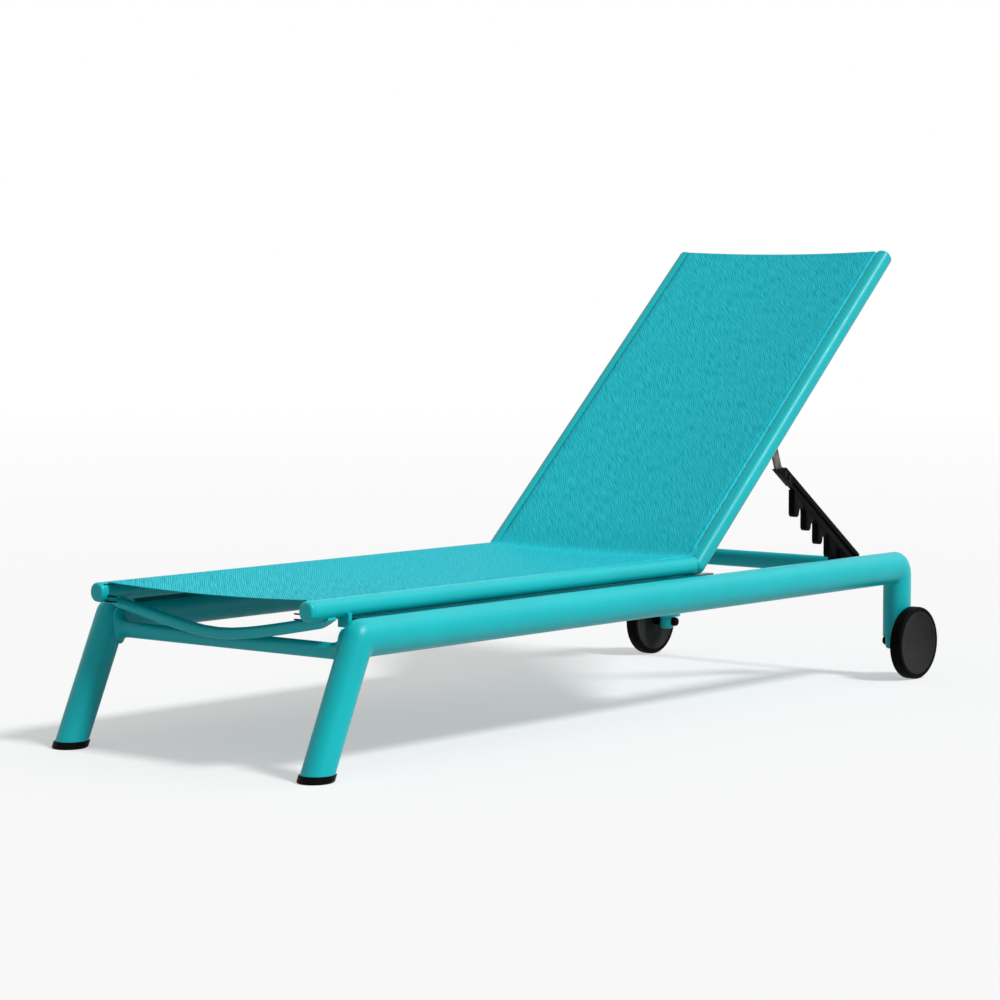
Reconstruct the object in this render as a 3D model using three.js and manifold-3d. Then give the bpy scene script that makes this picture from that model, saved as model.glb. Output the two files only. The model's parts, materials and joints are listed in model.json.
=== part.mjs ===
// Reclining sun lounger: an aluminium frame with woven slings, a ratchet back and two wheels.
// Millimetres. +X is the right-hand side seen from the foot end, +Y points to the head end, +Z is up.
// The origin is on the ground, in the middle of the footprint.
import * as THREE from 'three';
import { mergeVertices } from 'three/addons/utils/BufferGeometryUtils.js';
import Module from 'manifold-3d';

const wasm = await Module();
wasm.setup();

// ---------------------------------------------------------------- driving dimensions
const SEAT_CLEARANCE = 0.3;      // play between pieces that are fitted together
const TOOL_OVERRUN = 5;          // how far a cutting tool runs past the face it opens

// Side frames: one oval tube bent into a rail and two legs.
const RAIL_X = 304;              // centre of each side frame from the middle plane
const RAIL_Z = 234;              // centre height of the rail
const TUBE_WIDTH = 57;
const RAIL_HEIGHT = 68;
const FRONT_LEG_DEPTH = 57.5;
const REAR_LEG_DEPTH = 61.5;
const TUBE_WALL = 2.2;
const TUBE_SQUARENESS = 2.08;    // 2 is an ellipse, more is squarer
const FOOT_Y = -922.5;            // where the front leg's centre line meets the ground
const FRONT_LEG_LEAN = THREE.MathUtils.degToRad(24.4);
const FRONT_OUTER_BEND = 36;     // outside radius of the tube's front corner
const REAR_OUTER_BEND = 42;
const FRONT_INNER_BEND = 9;
const REAR_INNER_BEND = 5;
const AXLE_Y = 882;
const REAR_LEG_BEHIND_AXLE = 3;
const REAR_LEG_END_Z = 90;

// Feet and leg ends.
const FOOT_HEIGHT = 13;
const FOOT_LIP = 2.5;
const FOOT_CHAMFER = 2.5;
const PLUG_LENGTH = 34;
const LUG_X = [284, 314];        // the lug that carries the axle below the rear leg
const LUG_Y = [862, 892];
const LUG_END_Z = 61;
const LUG_ROUNDING = 6;
const LUG_FLANGE = 2;

// Bars between the side frames.
const FRONT_BAR_BEHIND_LEG = 6;  // from the leg's centre line
const FRONT_BAR_Z = 209.5;
const FRONT_BAR_HEIGHT = 29;
const FRONT_BAR_DEPTH = 22;
const REAR_BAR_BEHIND_AXLE = 14;
const REAR_BAR_Z = 228;
const REAR_BAR_HEIGHT = 37;
const REAR_BAR_DEPTH = 18;
const FRONT_BAR_FLARE = [26, 13]; // how far a bar's top and bottom swell where it meets the leg
const REAR_BAR_FLARE = [12, 12];
const BAR_FLARE_DEPTH = 5;       // the same for its front and back
const BAR_FLARE_LENGTH = 24;
const BAR_FLARE_STEPS = [[0.12, 0.55], [0.35, 0.22], [0.65, 0.05], [1, 0]]; // shares of length and flare

// Wheels.
const WHEEL_RADIUS = 76.5;
const WHEEL_GAP = 3;             // between the rear leg and the wheel
const WHEEL_WIDTH = 26;
const TYRE_DEPTH = 9;
const TYRE_SHOULDER = 5;
const RIM_HEIGHT = 3;
const RIM_WIDTH = 7;
const HUB_BOSS_RADIUS = 17;
const HUB_FACE = 4;              // thickness of the face that closes the bore outside
const AXLE_RADIUS = 5;
const SPACER_RADIUS = 10.5;
const NUT_RADIUS = 10;
const NUT_LENGTH = 11;

// Seat and back rails: one extrusion with a sling channel.
const SEAT_X = 258;
const SEAT_Z = 283;
const PROFILE_WIDTH = 34;
const PROFILE_HEIGHT = 36;
const PROFILE_SQUARENESS = 2.2;
const CHAMBER_RADIUS = 11.4;
const CHAMBER_OFFSET = [2.8, -3.6];
const CHANNEL_OFFSET = [-3.5, 13.2];
const CHANNEL_RADIUS = 3.1;
const CHANNEL_MOUTH = 2.6;
const CHANNEL_MOUTH_RISE = 1;     // the mouth's middle above the channel's
const SEAT_FRONT_Y = -889;
const END_CAP_THICKNESS = 6;
const END_CAP_PLUG = 22;

// Back hinge.
const HINGE_Y = 223.5;
const BACK_ANGLE = THREE.MathUtils.degToRad(42.26);
const BACK_LENGTH = 901.5;
const HINGE_PIN_RADIUS = 4;
const HINGE_PIN_HEAD = 6.5;
const HINGE_PIN_HEAD_LENGTH = 2.5;
const HINGE_PIN_WALL = 4;        // solid metal outside the pin's end
const KNUCKLE_GAP = 0.6;
const STEEPEST_BACK = 64;        // degrees above flat
const KNUCKLE_WALL = 6;          // solid metal between the knuckle and the chamber
const STOP_PLATE_LENGTH = 93;
const STOP_PLATE_PAST_HINGE = 45;
const STOP_PLATE_WIDTH = 20;
const STOP_PLATE_THICKNESS = 3.5;

// Slings.
const SLING_THICKNESS = 1.3;
const SEAT_SLING_SAG = 6;
const BACK_SLING_SAG = 8;
const SLING_HINGE_GAP = 17;
const SLING_END_MARGIN = 10;
const ROD_RADIUS = 2.4;

// Bowed spreader bars under the slings.
const BOW_RADIUS = 10.7;
const BOW_DROP = 38.5;
const BOW_BEND = 80;             // half the length of the bend in the middle
const FRONT_BOW_HALF_SPAN = 272;   // the front bow runs on under the rails to their outer sides
const BOW_END_Z = -20.5;           // the arms' ends from the rails' centre
const FRONT_BOW_FROM_END = 45;
const REAR_BOW_FROM_HINGE = 96;
const BACK_TOP_BOW_FROM_END = 40;

// Brackets that hold the seat rails' front ends on the side frames.
const FRONT_BRACKET_FROM_END = 80;
const FRONT_BRACKET_LENGTH = 9;
const FRONT_BRACKET_X = [256, 281];
const FRONT_BRACKET_Z = [250.5, 276];

// Long packers that fill the corner between each seat rail and the side frame under it.
const PACKER_BEHIND_BRACKET = 10;
const PACKER_BEFORE_HINGE = 21;
const PACKER_X = [266, 290];
const PACKER_Z = [256, 266.5];

// Ratchet racks, drawn as they stand in use, with their fingers pointing straight down.
const RACK_X = 232.5;
const RACK_THICKNESS = 15;
const RACK_POCKET = 3.2;        // how deep the recesses are
const RACK_SLOPE = THREE.MathUtils.degToRad(35.6);
const RACK_PIVOT_ALONG_BACK = 374;
const RACK_PIVOT_BELOW_BACK = 30;
const RACK_TOP_DROP = 19.6;      // from the pivot down to the rack's top edge, square to it
const RACK_HEAD_START = 40;      // from the pivot along the rack, at the rack's underside
const RACK_HEAD_TOP = 64;        // the same, at its top edge
const RACK_TAIL_END = 402;
const RACK_HANDLE_DEPTH = 20.5;
const RACK_FLANGE_DEPTH = 11;
const RACK_RECESS_DEPTH = 10;    // the recess under the flange, square to the rack
const NOTCH_COUNT = 5;
const BLIND_NOTCH = 3;           // a recess with a floor in place of an open notch
const FIRST_NOTCH_Y = 101;       // from the pivot, towards the head end
const NOTCH_PITCH = 43.3;
const FINGER_WIDTH = 17;
const SPINE_TO_NOTCH = 32.3;     // from the rack's top edge down to a notch's root, square to it
const TAIL_LIP = 7;
const TONGUE_THICKNESS = 5;
const TONGUE_EYE_RADIUS = 11.5;
const TONGUE_NECK_RADIUS = 10;
const TONGUE_BEND = 46;          // from the pivot along the rack
const TONGUE_SHANK_RADIUS = 7;
const TONGUE_DEPTH = 30;
const TONGUE_END = 96;
const RIVET_RADIUS = 2.6;
const RIVET_HEAD_RADIUS = 4.6;
const RIVET_HEAD_HEIGHT = 1.4;
const RIVET_PLACES = [66, 86];
const RACK_PIN_RADIUS = 4;
const RACK_PIN_HEAD_RADIUS = 7.5;
const RACK_PIN_HEAD = 3;
const EAR_THICKNESS = 4;
const EAR_RADIUS = 13;
const EAR_TOP = 5;               // how far the ear reaches above the rail's centre line
const STUD_RADIUS = 8;
const STUD_FLANGE_RADIUS = 14;
const STUD_FLANGE_LENGTH = 4;
const STUD_SIDE_GAP = 0.5;

// How finely curved surfaces are faceted.
const TUBE_SIDES = 20;
const BEND_STEPS = 5;
const ROUND_SIDES = 20;
const SMALL_SIDES = 12;
const WHEEL_SIDES = 40;
const PROFILE_SIDES = 24;
const SAG_STEPS = 8;
const BOW_STEPS = 16;
const LAP_SWEEP_STEPS = 8;
const DOME_STEPS = [0, 0.3, 0.6, 0.85, 1];     // shares of a dome's radius
const SHOULDER_STEPS = [0, 0.25, 0.5, 0.75, 1];
const RACK_CURVE_STEPS = 4;
const RECESS_CURVE_STEPS = 3;
const WELD_DISTANCE = 1e-4;
const SLIVER_AREA = 1e-6;

// ---------------------------------------------------------------- derived dimensions
const RACK_PITCH_Z = NOTCH_PITCH * Math.tan(RACK_SLOPE);
const NOTCH_RADIUS = (NOTCH_PITCH - FINGER_WIDTH) / 2;
const FRONT_BAR_Y = FOOT_Y + FRONT_BAR_Z * Math.tan(FRONT_LEG_LEAN) + FRONT_BAR_BEHIND_LEG;
const REAR_BAR_Y = AXLE_Y + REAR_BAR_BEHIND_AXLE;
const FRONT_BOW_Y = SEAT_FRONT_Y + FRONT_BOW_FROM_END;
const FRONT_BRACKET_Y = SEAT_FRONT_Y + FRONT_BRACKET_FROM_END;
const WHEEL_INNER_X = RAIL_X + TUBE_WIDTH / 2 + WHEEL_GAP;
const REAR_LEG_Y = AXLE_Y + REAR_LEG_BEHIND_AXLE;
const WHEEL_OUTER_X = WHEEL_INNER_X + WHEEL_WIDTH;
const HALF_WIDTH = PROFILE_WIDTH / 2;
const HALF_HEIGHT = PROFILE_HEIGHT / 2;
const SLING_HEIGHT = CHANNEL_OFFSET[1] + CHANNEL_MOUTH_RISE;
const SLING_EDGE_X = SEAT_X + CHANNEL_OFFSET[0] - ROD_RADIUS - SEAT_CLEARANCE;
const RAIL_SOLID_END = HALF_HEIGHT + KNUCKLE_GAP + KNUCKLE_WALL;
const CHANNEL_HINGE_GAP = SLING_HINGE_GAP - SEAT_CLEARANCE;
const BACK_DIRECTION = new THREE.Vector2(Math.cos(BACK_ANGLE), Math.sin(BACK_ANGLE));
const BACK_NORMAL = new THREE.Vector2(-BACK_DIRECTION.y, BACK_DIRECTION.x);
const RACK_PIVOT = new THREE.Vector2(HINGE_Y, SEAT_Z)
  .addScaledVector(BACK_DIRECTION, RACK_PIVOT_ALONG_BACK)
  .addScaledVector(BACK_NORMAL, -RACK_PIVOT_BELOW_BACK);

// ---------------------------------------------------------------- finishes
const finish = (color, roughness, metalness) => (
  new THREE.MeshStandardMaterial({ color, roughness, metalness })
);
const FRAME_PAINT = finish(0x12b5bd, 0.42, 0.15);
const SLING_FABRIC = finish(0x2bb3bd, 0.8, 0);
const BLACK_NYLON = finish(0x17181a, 0.5, 0);
const TYRE_RUBBER = finish(0x0d0d0e, 0.75, 0);
const STEEL = finish(0x8d8a86, 0.35, 0.9);

// ---------------------------------------------------------------- solids and booleans
function solidOf(geometry) {
  const bare = geometry.index ? geometry.toNonIndexed() : geometry.clone();
  bare.deleteAttribute('normal');
  bare.deleteAttribute('uv');
  const welded = mergeVertices(bare, WELD_DISTANCE);
  return new wasm.Manifold(new wasm.Mesh({
    numProp: 3,
    vertProperties: welded.attributes.position.array,
    triVerts: new Uint32Array(welded.index.array),
  }));
}

function geometryOf(solid) {
  const mesh = solid.getMesh();
  const geometry = new THREE.BufferGeometry();
  geometry.setAttribute('position', new THREE.BufferAttribute(mesh.vertProperties, mesh.numProp));
  geometry.setIndex(new THREE.BufferAttribute(mesh.triVerts, 1));
  geometry.computeVertexNormals();
  return geometry;
}

const join = (...solids) => solids.reduce((whole, piece) => whole.add(piece));
const cut = (solid, ...tools) => tools.reduce((rest, tool) => rest.subtract(tool), solid);

// A cylinder along X, from x0 to x1, with its axis at (y, z).
function cylinderX(radius, x0, x1, y = 0, z = 0, sides = ROUND_SIDES) {
  const geometry = new THREE.CylinderGeometry(radius, radius, Math.abs(x1 - x0), sides);
  geometry.rotateZ(Math.PI / 2);
  geometry.translate((x0 + x1) / 2, y, z);
  return solidOf(geometry);
}

function box(x, y, z) {
  const geometry = new THREE.BoxGeometry(x[1] - x[0], y[1] - y[0], z[1] - z[0]);
  geometry.translate((x[0] + x[1]) / 2, (y[0] + y[1]) / 2, (z[0] + z[1]) / 2);
  return solidOf(geometry);
}

// A body of revolution about X: the profile's points are [x, radius], from axis to axis or closed.
function revolveX(profile, y, z, sides) {
  const points = profile.map(([x, radius]) => new THREE.Vector2(radius, x));
  const geometry = new THREE.LatheGeometry(points, sides);
  geometry.rotateZ(-Math.PI / 2);
  geometry.translate(0, y, z);
  return turnedOut(solidOf(withoutSlivers(geometry)), geometry);
}

// Drops the zero-area triangles that a revolve leaves at its poles.
function withoutSlivers(geometry) {
  const flat = geometry.index ? geometry.toNonIndexed() : geometry;
  const source = flat.attributes.position;
  const kept = [];
  const corner = [new THREE.Vector3(), new THREE.Vector3(), new THREE.Vector3()];
  for (let i = 0; i < source.count; i += 3) {
    corner.forEach((point, k) => point.fromBufferAttribute(source, i + k));
    const area = corner[1].clone().sub(corner[0]).cross(corner[2].clone().sub(corner[0])).length();
    if (area > SLIVER_AREA) {
      corner.forEach((point) => kept.push(point.x, point.y, point.z));
    }
  }
  const clean = new THREE.BufferGeometry();
  clean.setAttribute('position', new THREE.Float32BufferAttribute(kept, 3));
  return clean;
}

// Turns a solid whose faces point inwards the right way out.
function turnedOut(solid, geometry) {
  if (solid.volume() > 0) {
    return solid;
  }
  return solidOf(reversed(withoutSlivers(geometry)));
}

function reversed(geometry) {
  const flipped = geometry.clone();
  const position = flipped.attributes.position;
  const first = new THREE.Vector3();
  const last = new THREE.Vector3();
  for (let i = 0; i < position.count; i += 3) {
    first.fromBufferAttribute(position, i);
    last.fromBufferAttribute(position, i + 2);
    position.setXYZ(i, last.x, last.y, last.z);
    position.setXYZ(i + 2, first.x, first.y, first.z);
  }
  return flipped;
}

// ---------------------------------------------------------------- lofted oval tubes
// One ring of a rounded-rectangle section: u and v are unit axes, a and b its half sizes.
function ring({ centre, u, v, a, b }, grow, squareness, sides) {
  const points = [];
  for (let i = 0; i < sides; i += 1) {
    const angle = (2 * Math.PI * i) / sides;
    const c = Math.cos(angle);
    const s = Math.sin(angle);
    const along = Math.sign(c) * Math.abs(c) ** (2 / squareness) * (a + grow);
    const across = Math.sign(s) * Math.abs(s) ** (2 / squareness) * (b + grow);
    points.push(centre.clone().addScaledVector(u, along).addScaledVector(v, across));
  }
  return points;
}

// A closed body through a row of sections.
function loft(stations, { grow = 0, squareness = 2, sides = TUBE_SIDES } = {}) {
  const rings = stations.map((station) => ring(station, grow, squareness, sides));
  const positions = [];
  const triangle = (p, q, r) => [p, q, r].forEach((point) => positions.push(point.x, point.y, point.z));
  for (let k = 0; k + 1 < rings.length; k += 1) {
    for (let i = 0; i < sides; i += 1) {
      const j = (i + 1) % sides;
      triangle(rings[k][i], rings[k][j], rings[k + 1][j]);
      triangle(rings[k][i], rings[k + 1][j], rings[k + 1][i]);
    }
  }
  const first = stations[0].centre;
  const last = stations[stations.length - 1].centre;
  const end = rings[rings.length - 1];
  for (let i = 0; i < sides; i += 1) {
    const j = (i + 1) % sides;
    triangle(first, rings[0][j], rings[0][i]);
    triangle(last, end[i], end[j]);
  }
  const geometry = new THREE.BufferGeometry();
  geometry.setAttribute('position', new THREE.Float32BufferAttribute(positions, 3));
  return turnedOut(solidOf(geometry), geometry);
}

const X_AXIS = new THREE.Vector3(1, 0, 0);
const Y_AXIS = new THREE.Vector3(0, 1, 0);
const Z_AXIS = new THREE.Vector3(0, 0, 1);

// A section of the side frame, in the plane of the ray that leaves `from` at `angle`.
function tubeSection(from, angle, inner, outer) {
  const direction = new THREE.Vector3(0, Math.cos(angle), Math.sin(angle));
  return {
    centre: new THREE.Vector3(RAIL_X, from.x, from.y).addScaledVector(direction, (inner + outer) / 2),
    u: X_AXIS,
    v: direction,
    a: TUBE_WIDTH / 2,
    b: (outer - inner) / 2,
  };
}

// Sections round a corner of the frame. They fan out from `pivot`; the outside is two straight
// lines, `first` and `second`, each { angle, reach } from the pivot, joined by the outer bend.
function bendSections(pivot, inner, outerBend, first, second) {
  const normal = (line) => new THREE.Vector2(Math.cos(line.angle), Math.sin(line.angle));
  const [n1, n2] = [normal(first), normal(second)];
  const [h1, h2] = [first.reach - outerBend, second.reach - outerBend];
  const cross = n1.x * n2.y - n1.y * n2.x;
  const arc = new THREE.Vector2((h1 * n2.y - h2 * n1.y) / cross, (h2 * n1.x - h1 * n2.x) / cross);
  const tangent = (n) => arc.clone().addScaledVector(n, outerBend).angle();
  const [t1, t2] = [tangent(n1), tangent(n2)];
  const sections = [];
  for (let i = 0; i <= BEND_STEPS + 2; i += 1) {
    let angle = t1 + ((t2 - t1) * (i - 1)) / BEND_STEPS;
    if (i === 0) {
      angle = first.angle;
    } else if (i === BEND_STEPS + 2) {
      angle = second.angle;
    }
    const ray = new THREE.Vector2(Math.cos(angle), Math.sin(angle));
    const toArc = arc.dot(ray);
    let outer = toArc + Math.sqrt(toArc ** 2 - arc.lengthSq() + outerBend ** 2);
    if (i === 0) {
      outer = first.reach;
    } else if (i === BEND_STEPS + 2) {
      outer = second.reach;
    }
    sections.push(tubeSection(pivot, angle, inner, outer));
  }
  return sections;
}

// The front leg's centre line at height z.
const frontLegY = (z) => FOOT_Y + z * Math.tan(FRONT_LEG_LEAN);

// A level cut through the leaning front leg.
function frontLegLevel(z, shrink = 0) {
  return {
    centre: new THREE.Vector3(RAIL_X, frontLegY(z), z),
    u: X_AXIS,
    v: Y_AXIS,
    a: TUBE_WIDTH / 2 - shrink,
    b: (FRONT_LEG_DEPTH / 2 - shrink) / Math.cos(FRONT_LEG_LEAN),
  };
}

// A level cut through the upright rear leg.
function rearLegLevel(z, shrink = 0) {
  return {
    centre: new THREE.Vector3(RAIL_X, REAR_LEG_Y, z),
    u: X_AXIS,
    v: Y_AXIS,
    a: TUBE_WIDTH / 2 - shrink,
    b: REAR_LEG_DEPTH / 2 - shrink,
  };
}

// All sections of a side frame from its front foot to the end of its rear leg.
function sideFrameSections() {
  const railUnder = RAIL_Z - RAIL_HEIGHT / 2;
  const forward = Math.PI - FRONT_LEG_LEAN;
  const frontPivotZ = railUnder - FRONT_INNER_BEND;
  const legRear = frontLegY(frontPivotZ) + FRONT_LEG_DEPTH / 2 / Math.cos(FRONT_LEG_LEAN);
  const frontPivot = new THREE.Vector2(legRear + FRONT_INNER_BEND / Math.cos(FRONT_LEG_LEAN), frontPivotZ);
  const legFront = REAR_LEG_Y - REAR_LEG_DEPTH / 2;
  const rearPivot = new THREE.Vector2(legFront - REAR_INNER_BEND, railUnder - REAR_INNER_BEND);
  const front = bendSections(
    frontPivot,
    FRONT_INNER_BEND,
    FRONT_OUTER_BEND,
    { angle: forward, reach: FRONT_INNER_BEND + FRONT_LEG_DEPTH },
    { angle: Math.PI / 2, reach: FRONT_INNER_BEND + RAIL_HEIGHT },
  );
  const rear = bendSections(
    rearPivot,
    REAR_INNER_BEND,
    REAR_OUTER_BEND,
    { angle: Math.PI / 2, reach: REAR_INNER_BEND + RAIL_HEIGHT },
    { angle: 0, reach: REAR_INNER_BEND + REAR_LEG_DEPTH },
  );
  const foot = frontLegLevel(FOOT_HEIGHT);
  foot.v = Y_AXIS.clone().negate();
  const end = rearLegLevel(REAR_LEG_END_Z);
  return [foot, ...front, ...rear, end];
}

// Carries the end sections on past the tube's ends, so that a bore opens there.
function bored(sections) {
  const last = sections.length - 1;
  const foot = { ...sections[0], centre: new THREE.Vector3(RAIL_X, frontLegY(0), 0) };
  const below = sections[last].centre.clone().addScaledVector(Z_AXIS, -FOOT_HEIGHT);
  return [foot, ...sections, { ...sections[last], centre: below }];
}

const SIDE_SECTIONS = sideFrameSections();
const TUBE = { squareness: TUBE_SQUARENESS };

// The room that a side frame takes, with a fitting clearance all round.
const sideFrameRoom = () => loft(SIDE_SECTIONS, { ...TUBE, grow: SEAT_CLEARANCE });

function sideFrame() {
  const skin = loft(SIDE_SECTIONS, TUBE);
  const bore = loft(bored(SIDE_SECTIONS), { ...TUBE, grow: -TUBE_WALL });
  return cut(skin, bore);
}

// ---------------------------------------------------------------- feet and leg ends
function footCap() {
  const plug = TUBE_WALL + SEAT_CLEARANCE;
  const top = FOOT_HEIGHT - SEAT_CLEARANCE;
  return loft([
    frontLegLevel(0, FOOT_CHAMFER - FOOT_LIP),
    frontLegLevel(FOOT_CHAMFER, -FOOT_LIP),
    frontLegLevel(top, -FOOT_LIP),
    frontLegLevel(top, plug),
    frontLegLevel(FOOT_HEIGHT + PLUG_LENGTH, plug),
  ], TUBE);
}

// A hole for the axle through whatever lies between x0 and x1.
function axleHole(x0, x1) {
  const radius = AXLE_RADIUS + SEAT_CLEARANCE;
  return cylinderX(radius, x0 - TOOL_OVERRUN, x1 + TOOL_OVERRUN, AXLE_Y, WHEEL_RADIUS, SMALL_SIDES);
}

// The plug in the rear leg's end, with the flange that closes the tube and the axle's lug.
function legEndCap() {
  const lugLevel = (z, shrink) => ({
    centre: new THREE.Vector3((LUG_X[0] + LUG_X[1]) / 2, (LUG_Y[0] + LUG_Y[1]) / 2, z),
    u: X_AXIS,
    v: Y_AXIS,
    a: (LUG_X[1] - LUG_X[0]) / 2 - shrink,
    b: (LUG_Y[1] - LUG_Y[0]) / 2 - shrink,
  });
  const rounding = DOME_STEPS.map((t) => {
    const rise = LUG_ROUNDING * (1 - Math.sqrt(1 - t * t));
    return lugLevel(LUG_END_Z + rise, LUG_ROUNDING * (1 - t));
  });
  const plug = TUBE_WALL + SEAT_CLEARANCE;
  const top = REAR_LEG_END_Z - SEAT_CLEARANCE;
  const body = loft([
    ...rounding,
    lugLevel(top - LUG_FLANGE, 0),
    rearLegLevel(top - LUG_FLANGE),
    rearLegLevel(top),
    rearLegLevel(top, plug),
    rearLegLevel(REAR_LEG_END_Z + PLUG_LENGTH, plug),
  ], TUBE);
  return cut(body, axleHole(...LUG_X));
}

// ---------------------------------------------------------------- bars across the frame
// A bar between the side frames that flares where it meets them.
function crossBar(y, z, depth, height, [up, down]) {
  const face = RAIL_X - TUBE_WIDTH / 2;
  const section = (x, share) => ({
    centre: new THREE.Vector3(x, y, z + (share * (up - down)) / 2),
    u: Y_AXIS,
    v: Z_AXIS,
    a: depth / 2 + share * BAR_FLARE_DEPTH,
    b: height / 2 + (share * (up + down)) / 2,
  });
  const half = [
    section(-RAIL_X, 1),
    section(-face, 1),
    ...BAR_FLARE_STEPS.map(([along, share]) => section(-face + BAR_FLARE_LENGTH * along, share)),
  ];
  const mirrored = half.map((s) => ({ ...s, centre: new THREE.Vector3(-s.centre.x, y, s.centre.z) }));
  const bar = loft([...half, ...mirrored.reverse()], TUBE);
  const right = sideFrameRoom();
  return cut(bar, right, right.mirror([1, 0, 0]));
}

// A bowed spreader: two straight arms that a soft bend joins in the middle.
class BowCurve extends THREE.Curve {
  constructor(y, z, halfSpan) {
    super();
    this.y = y;
    this.z = z;
    this.halfSpan = halfSpan;
  }

  getPoint(t, target = new THREE.Vector3()) {
    const x = (2 * t - 1) * this.halfSpan;
    const rise = (Math.hypot(x, BOW_BEND) - BOW_BEND) / (Math.hypot(SEAT_X, BOW_BEND) - BOW_BEND);
    return target.set(x, this.y, this.z - BOW_DROP * (1 - rise));
  }
}

// A bow whose ends are shaped to the two rails that it spreads.
function bow(y, z, halfSpan = SEAT_X) {
  const section = new THREE.Shape();
  section.absarc(0, 0, BOW_RADIUS, 0, 2 * Math.PI);
  const geometry = new THREE.ExtrudeGeometry(section, {
    steps: BOW_STEPS,
    curveSegments: SMALL_SIDES / 2,
    extrudePath: new BowCurve(y, z + BOW_END_Z, halfSpan),
  });
  const reach = 2 * BOW_RADIUS;
  const railRoom = alongY(profileShape(SEAT_CLEARANCE), y - reach, y + reach).translate([SEAT_X, 0, z]);
  return cut(solidOf(geometry), railRoom, railRoom.mirror([1, 0, 0]));
}

// ---------------------------------------------------------------- seat and back rails
// The rail's outline, x outwards and y up from its centre.
function profileShape(grow = 0) {
  const shape = new THREE.Shape();
  for (let i = 0; i < PROFILE_SIDES; i += 1) {
    const angle = (2 * Math.PI * i) / PROFILE_SIDES;
    const c = Math.cos(angle);
    const s = Math.sin(angle);
    const x = Math.sign(c) * Math.abs(c) ** (2 / PROFILE_SQUARENESS) * (HALF_WIDTH + grow);
    const y = Math.sign(s) * Math.abs(s) ** (2 / PROFILE_SQUARENESS) * (HALF_HEIGHT + grow);
    if (i === 0) {
      shape.moveTo(x, y);
    } else {
      shape.lineTo(x, y);
    }
  }
  shape.closePath();
  return shape;
}

// A shape drawn in x and z, carried along Y from y0 to y1.
function alongY(shape, y0, y1) {
  const options = { depth: y1 - y0, bevelEnabled: false, curveSegments: ROUND_SIDES / 4 };
  const geometry = new THREE.ExtrudeGeometry(shape, options);
  geometry.rotateX(Math.PI / 2);
  geometry.translate(0, y1, 0);
  return solidOf(geometry);
}

function cylinderY(radius, y0, y1, x, z, sides = ROUND_SIDES) {
  const geometry = new THREE.CylinderGeometry(radius, radius, y1 - y0, sides);
  geometry.translate(x, (y0 + y1) / 2, z);
  return solidOf(geometry);
}

// The chamber and the sling channel that run through the rail from its open end at y1; the
// chamber stops at y0 and the channel runs on to the hinge, as far as the sling does.
function railBores(y0, y1) {
  const span = (start) => [Math.min(start, y1), Math.max(start, y1)];
  const slingEnd = Math.sign(y0) * CHANNEL_HINGE_GAP;
  const chamber = cylinderY(CHAMBER_RADIUS, ...span(y0), ...CHAMBER_OFFSET);
  const channel = cylinderY(CHANNEL_RADIUS, ...span(slingEnd), ...CHANNEL_OFFSET, SMALL_SIDES);
  const mouth = box(
    [-PROFILE_WIDTH, CHANNEL_OFFSET[0]],
    span(slingEnd),
    [SLING_HEIGHT - CHANNEL_MOUTH / 2, SLING_HEIGHT + CHANNEL_MOUTH / 2],
  );
  return join(chamber, channel, mouth);
}

// The round end that turns on the hinge pin: the rail's outline turned about X.
function knuckle() {
  const profile = [];
  const steps = PROFILE_SIDES / 2;
  for (let i = 0; i <= steps; i += 1) {
    const c = Math.cos((Math.PI * i) / steps);
    const s = Math.sin((Math.PI * i) / steps);
    profile.push([
      -Math.sign(c) * Math.abs(c) ** (2 / PROFILE_SQUARENESS) * HALF_WIDTH,
      Math.abs(s) ** (2 / PROFILE_SQUARENESS) * HALF_HEIGHT,
    ]);
  }
  return revolveX(profile, 0, 0, ROUND_SIDES);
}

// The room that the other rail's half of the hinge sweeps as the back turns from flat to its
// steepest, for a rail that lies on the -Y side of the hinge.
function lapRoom(x) {
  const reach = HALF_HEIGHT + KNUCKLE_GAP;
  const sweep = [cylinderX(reach, x[0], x[1], 0, 0, 2 * ROUND_SIDES)];
  for (let i = 1; i <= LAP_SWEEP_STEPS; i += 1) {
    const swept = box(x, [0, PROFILE_HEIGHT], [-reach, reach]);
    sweep.push(swept.rotate([(STEEPEST_BACK * i) / LAP_SWEEP_STEPS, 0, 0]));
  }
  return join(...sweep);
}

// A rail from y0 to the hinge at y = 0, or from the hinge to y1. `side` is +1 where it keeps
// the outer half of the hinge and -1 where it keeps the inner half.
function rail(y0, y1, side) {
  const solid = join(alongY(profileShape(), y0, y1), knuckle());
  const bores = y0 < 0
    ? railBores(-RAIL_SOLID_END, y0 - TOOL_OVERRUN)
    : railBores(RAIL_SOLID_END, y1 + TOOL_OVERRUN);
  const lap = side > 0
    ? [-PROFILE_WIDTH, KNUCKLE_GAP / 2]
    : [-KNUCKLE_GAP / 2, PROFILE_WIDTH];
  const room = side > 0 ? lapRoom(lap).mirror([0, 1, 0]) : lapRoom(lap);
  const pinHole = cylinderX(HINGE_PIN_RADIUS + SEAT_CLEARANCE, -PROFILE_WIDTH, HALF_WIDTH - HINGE_PIN_WALL);
  return cut(solid, bores, room, pinHole);
}

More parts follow.
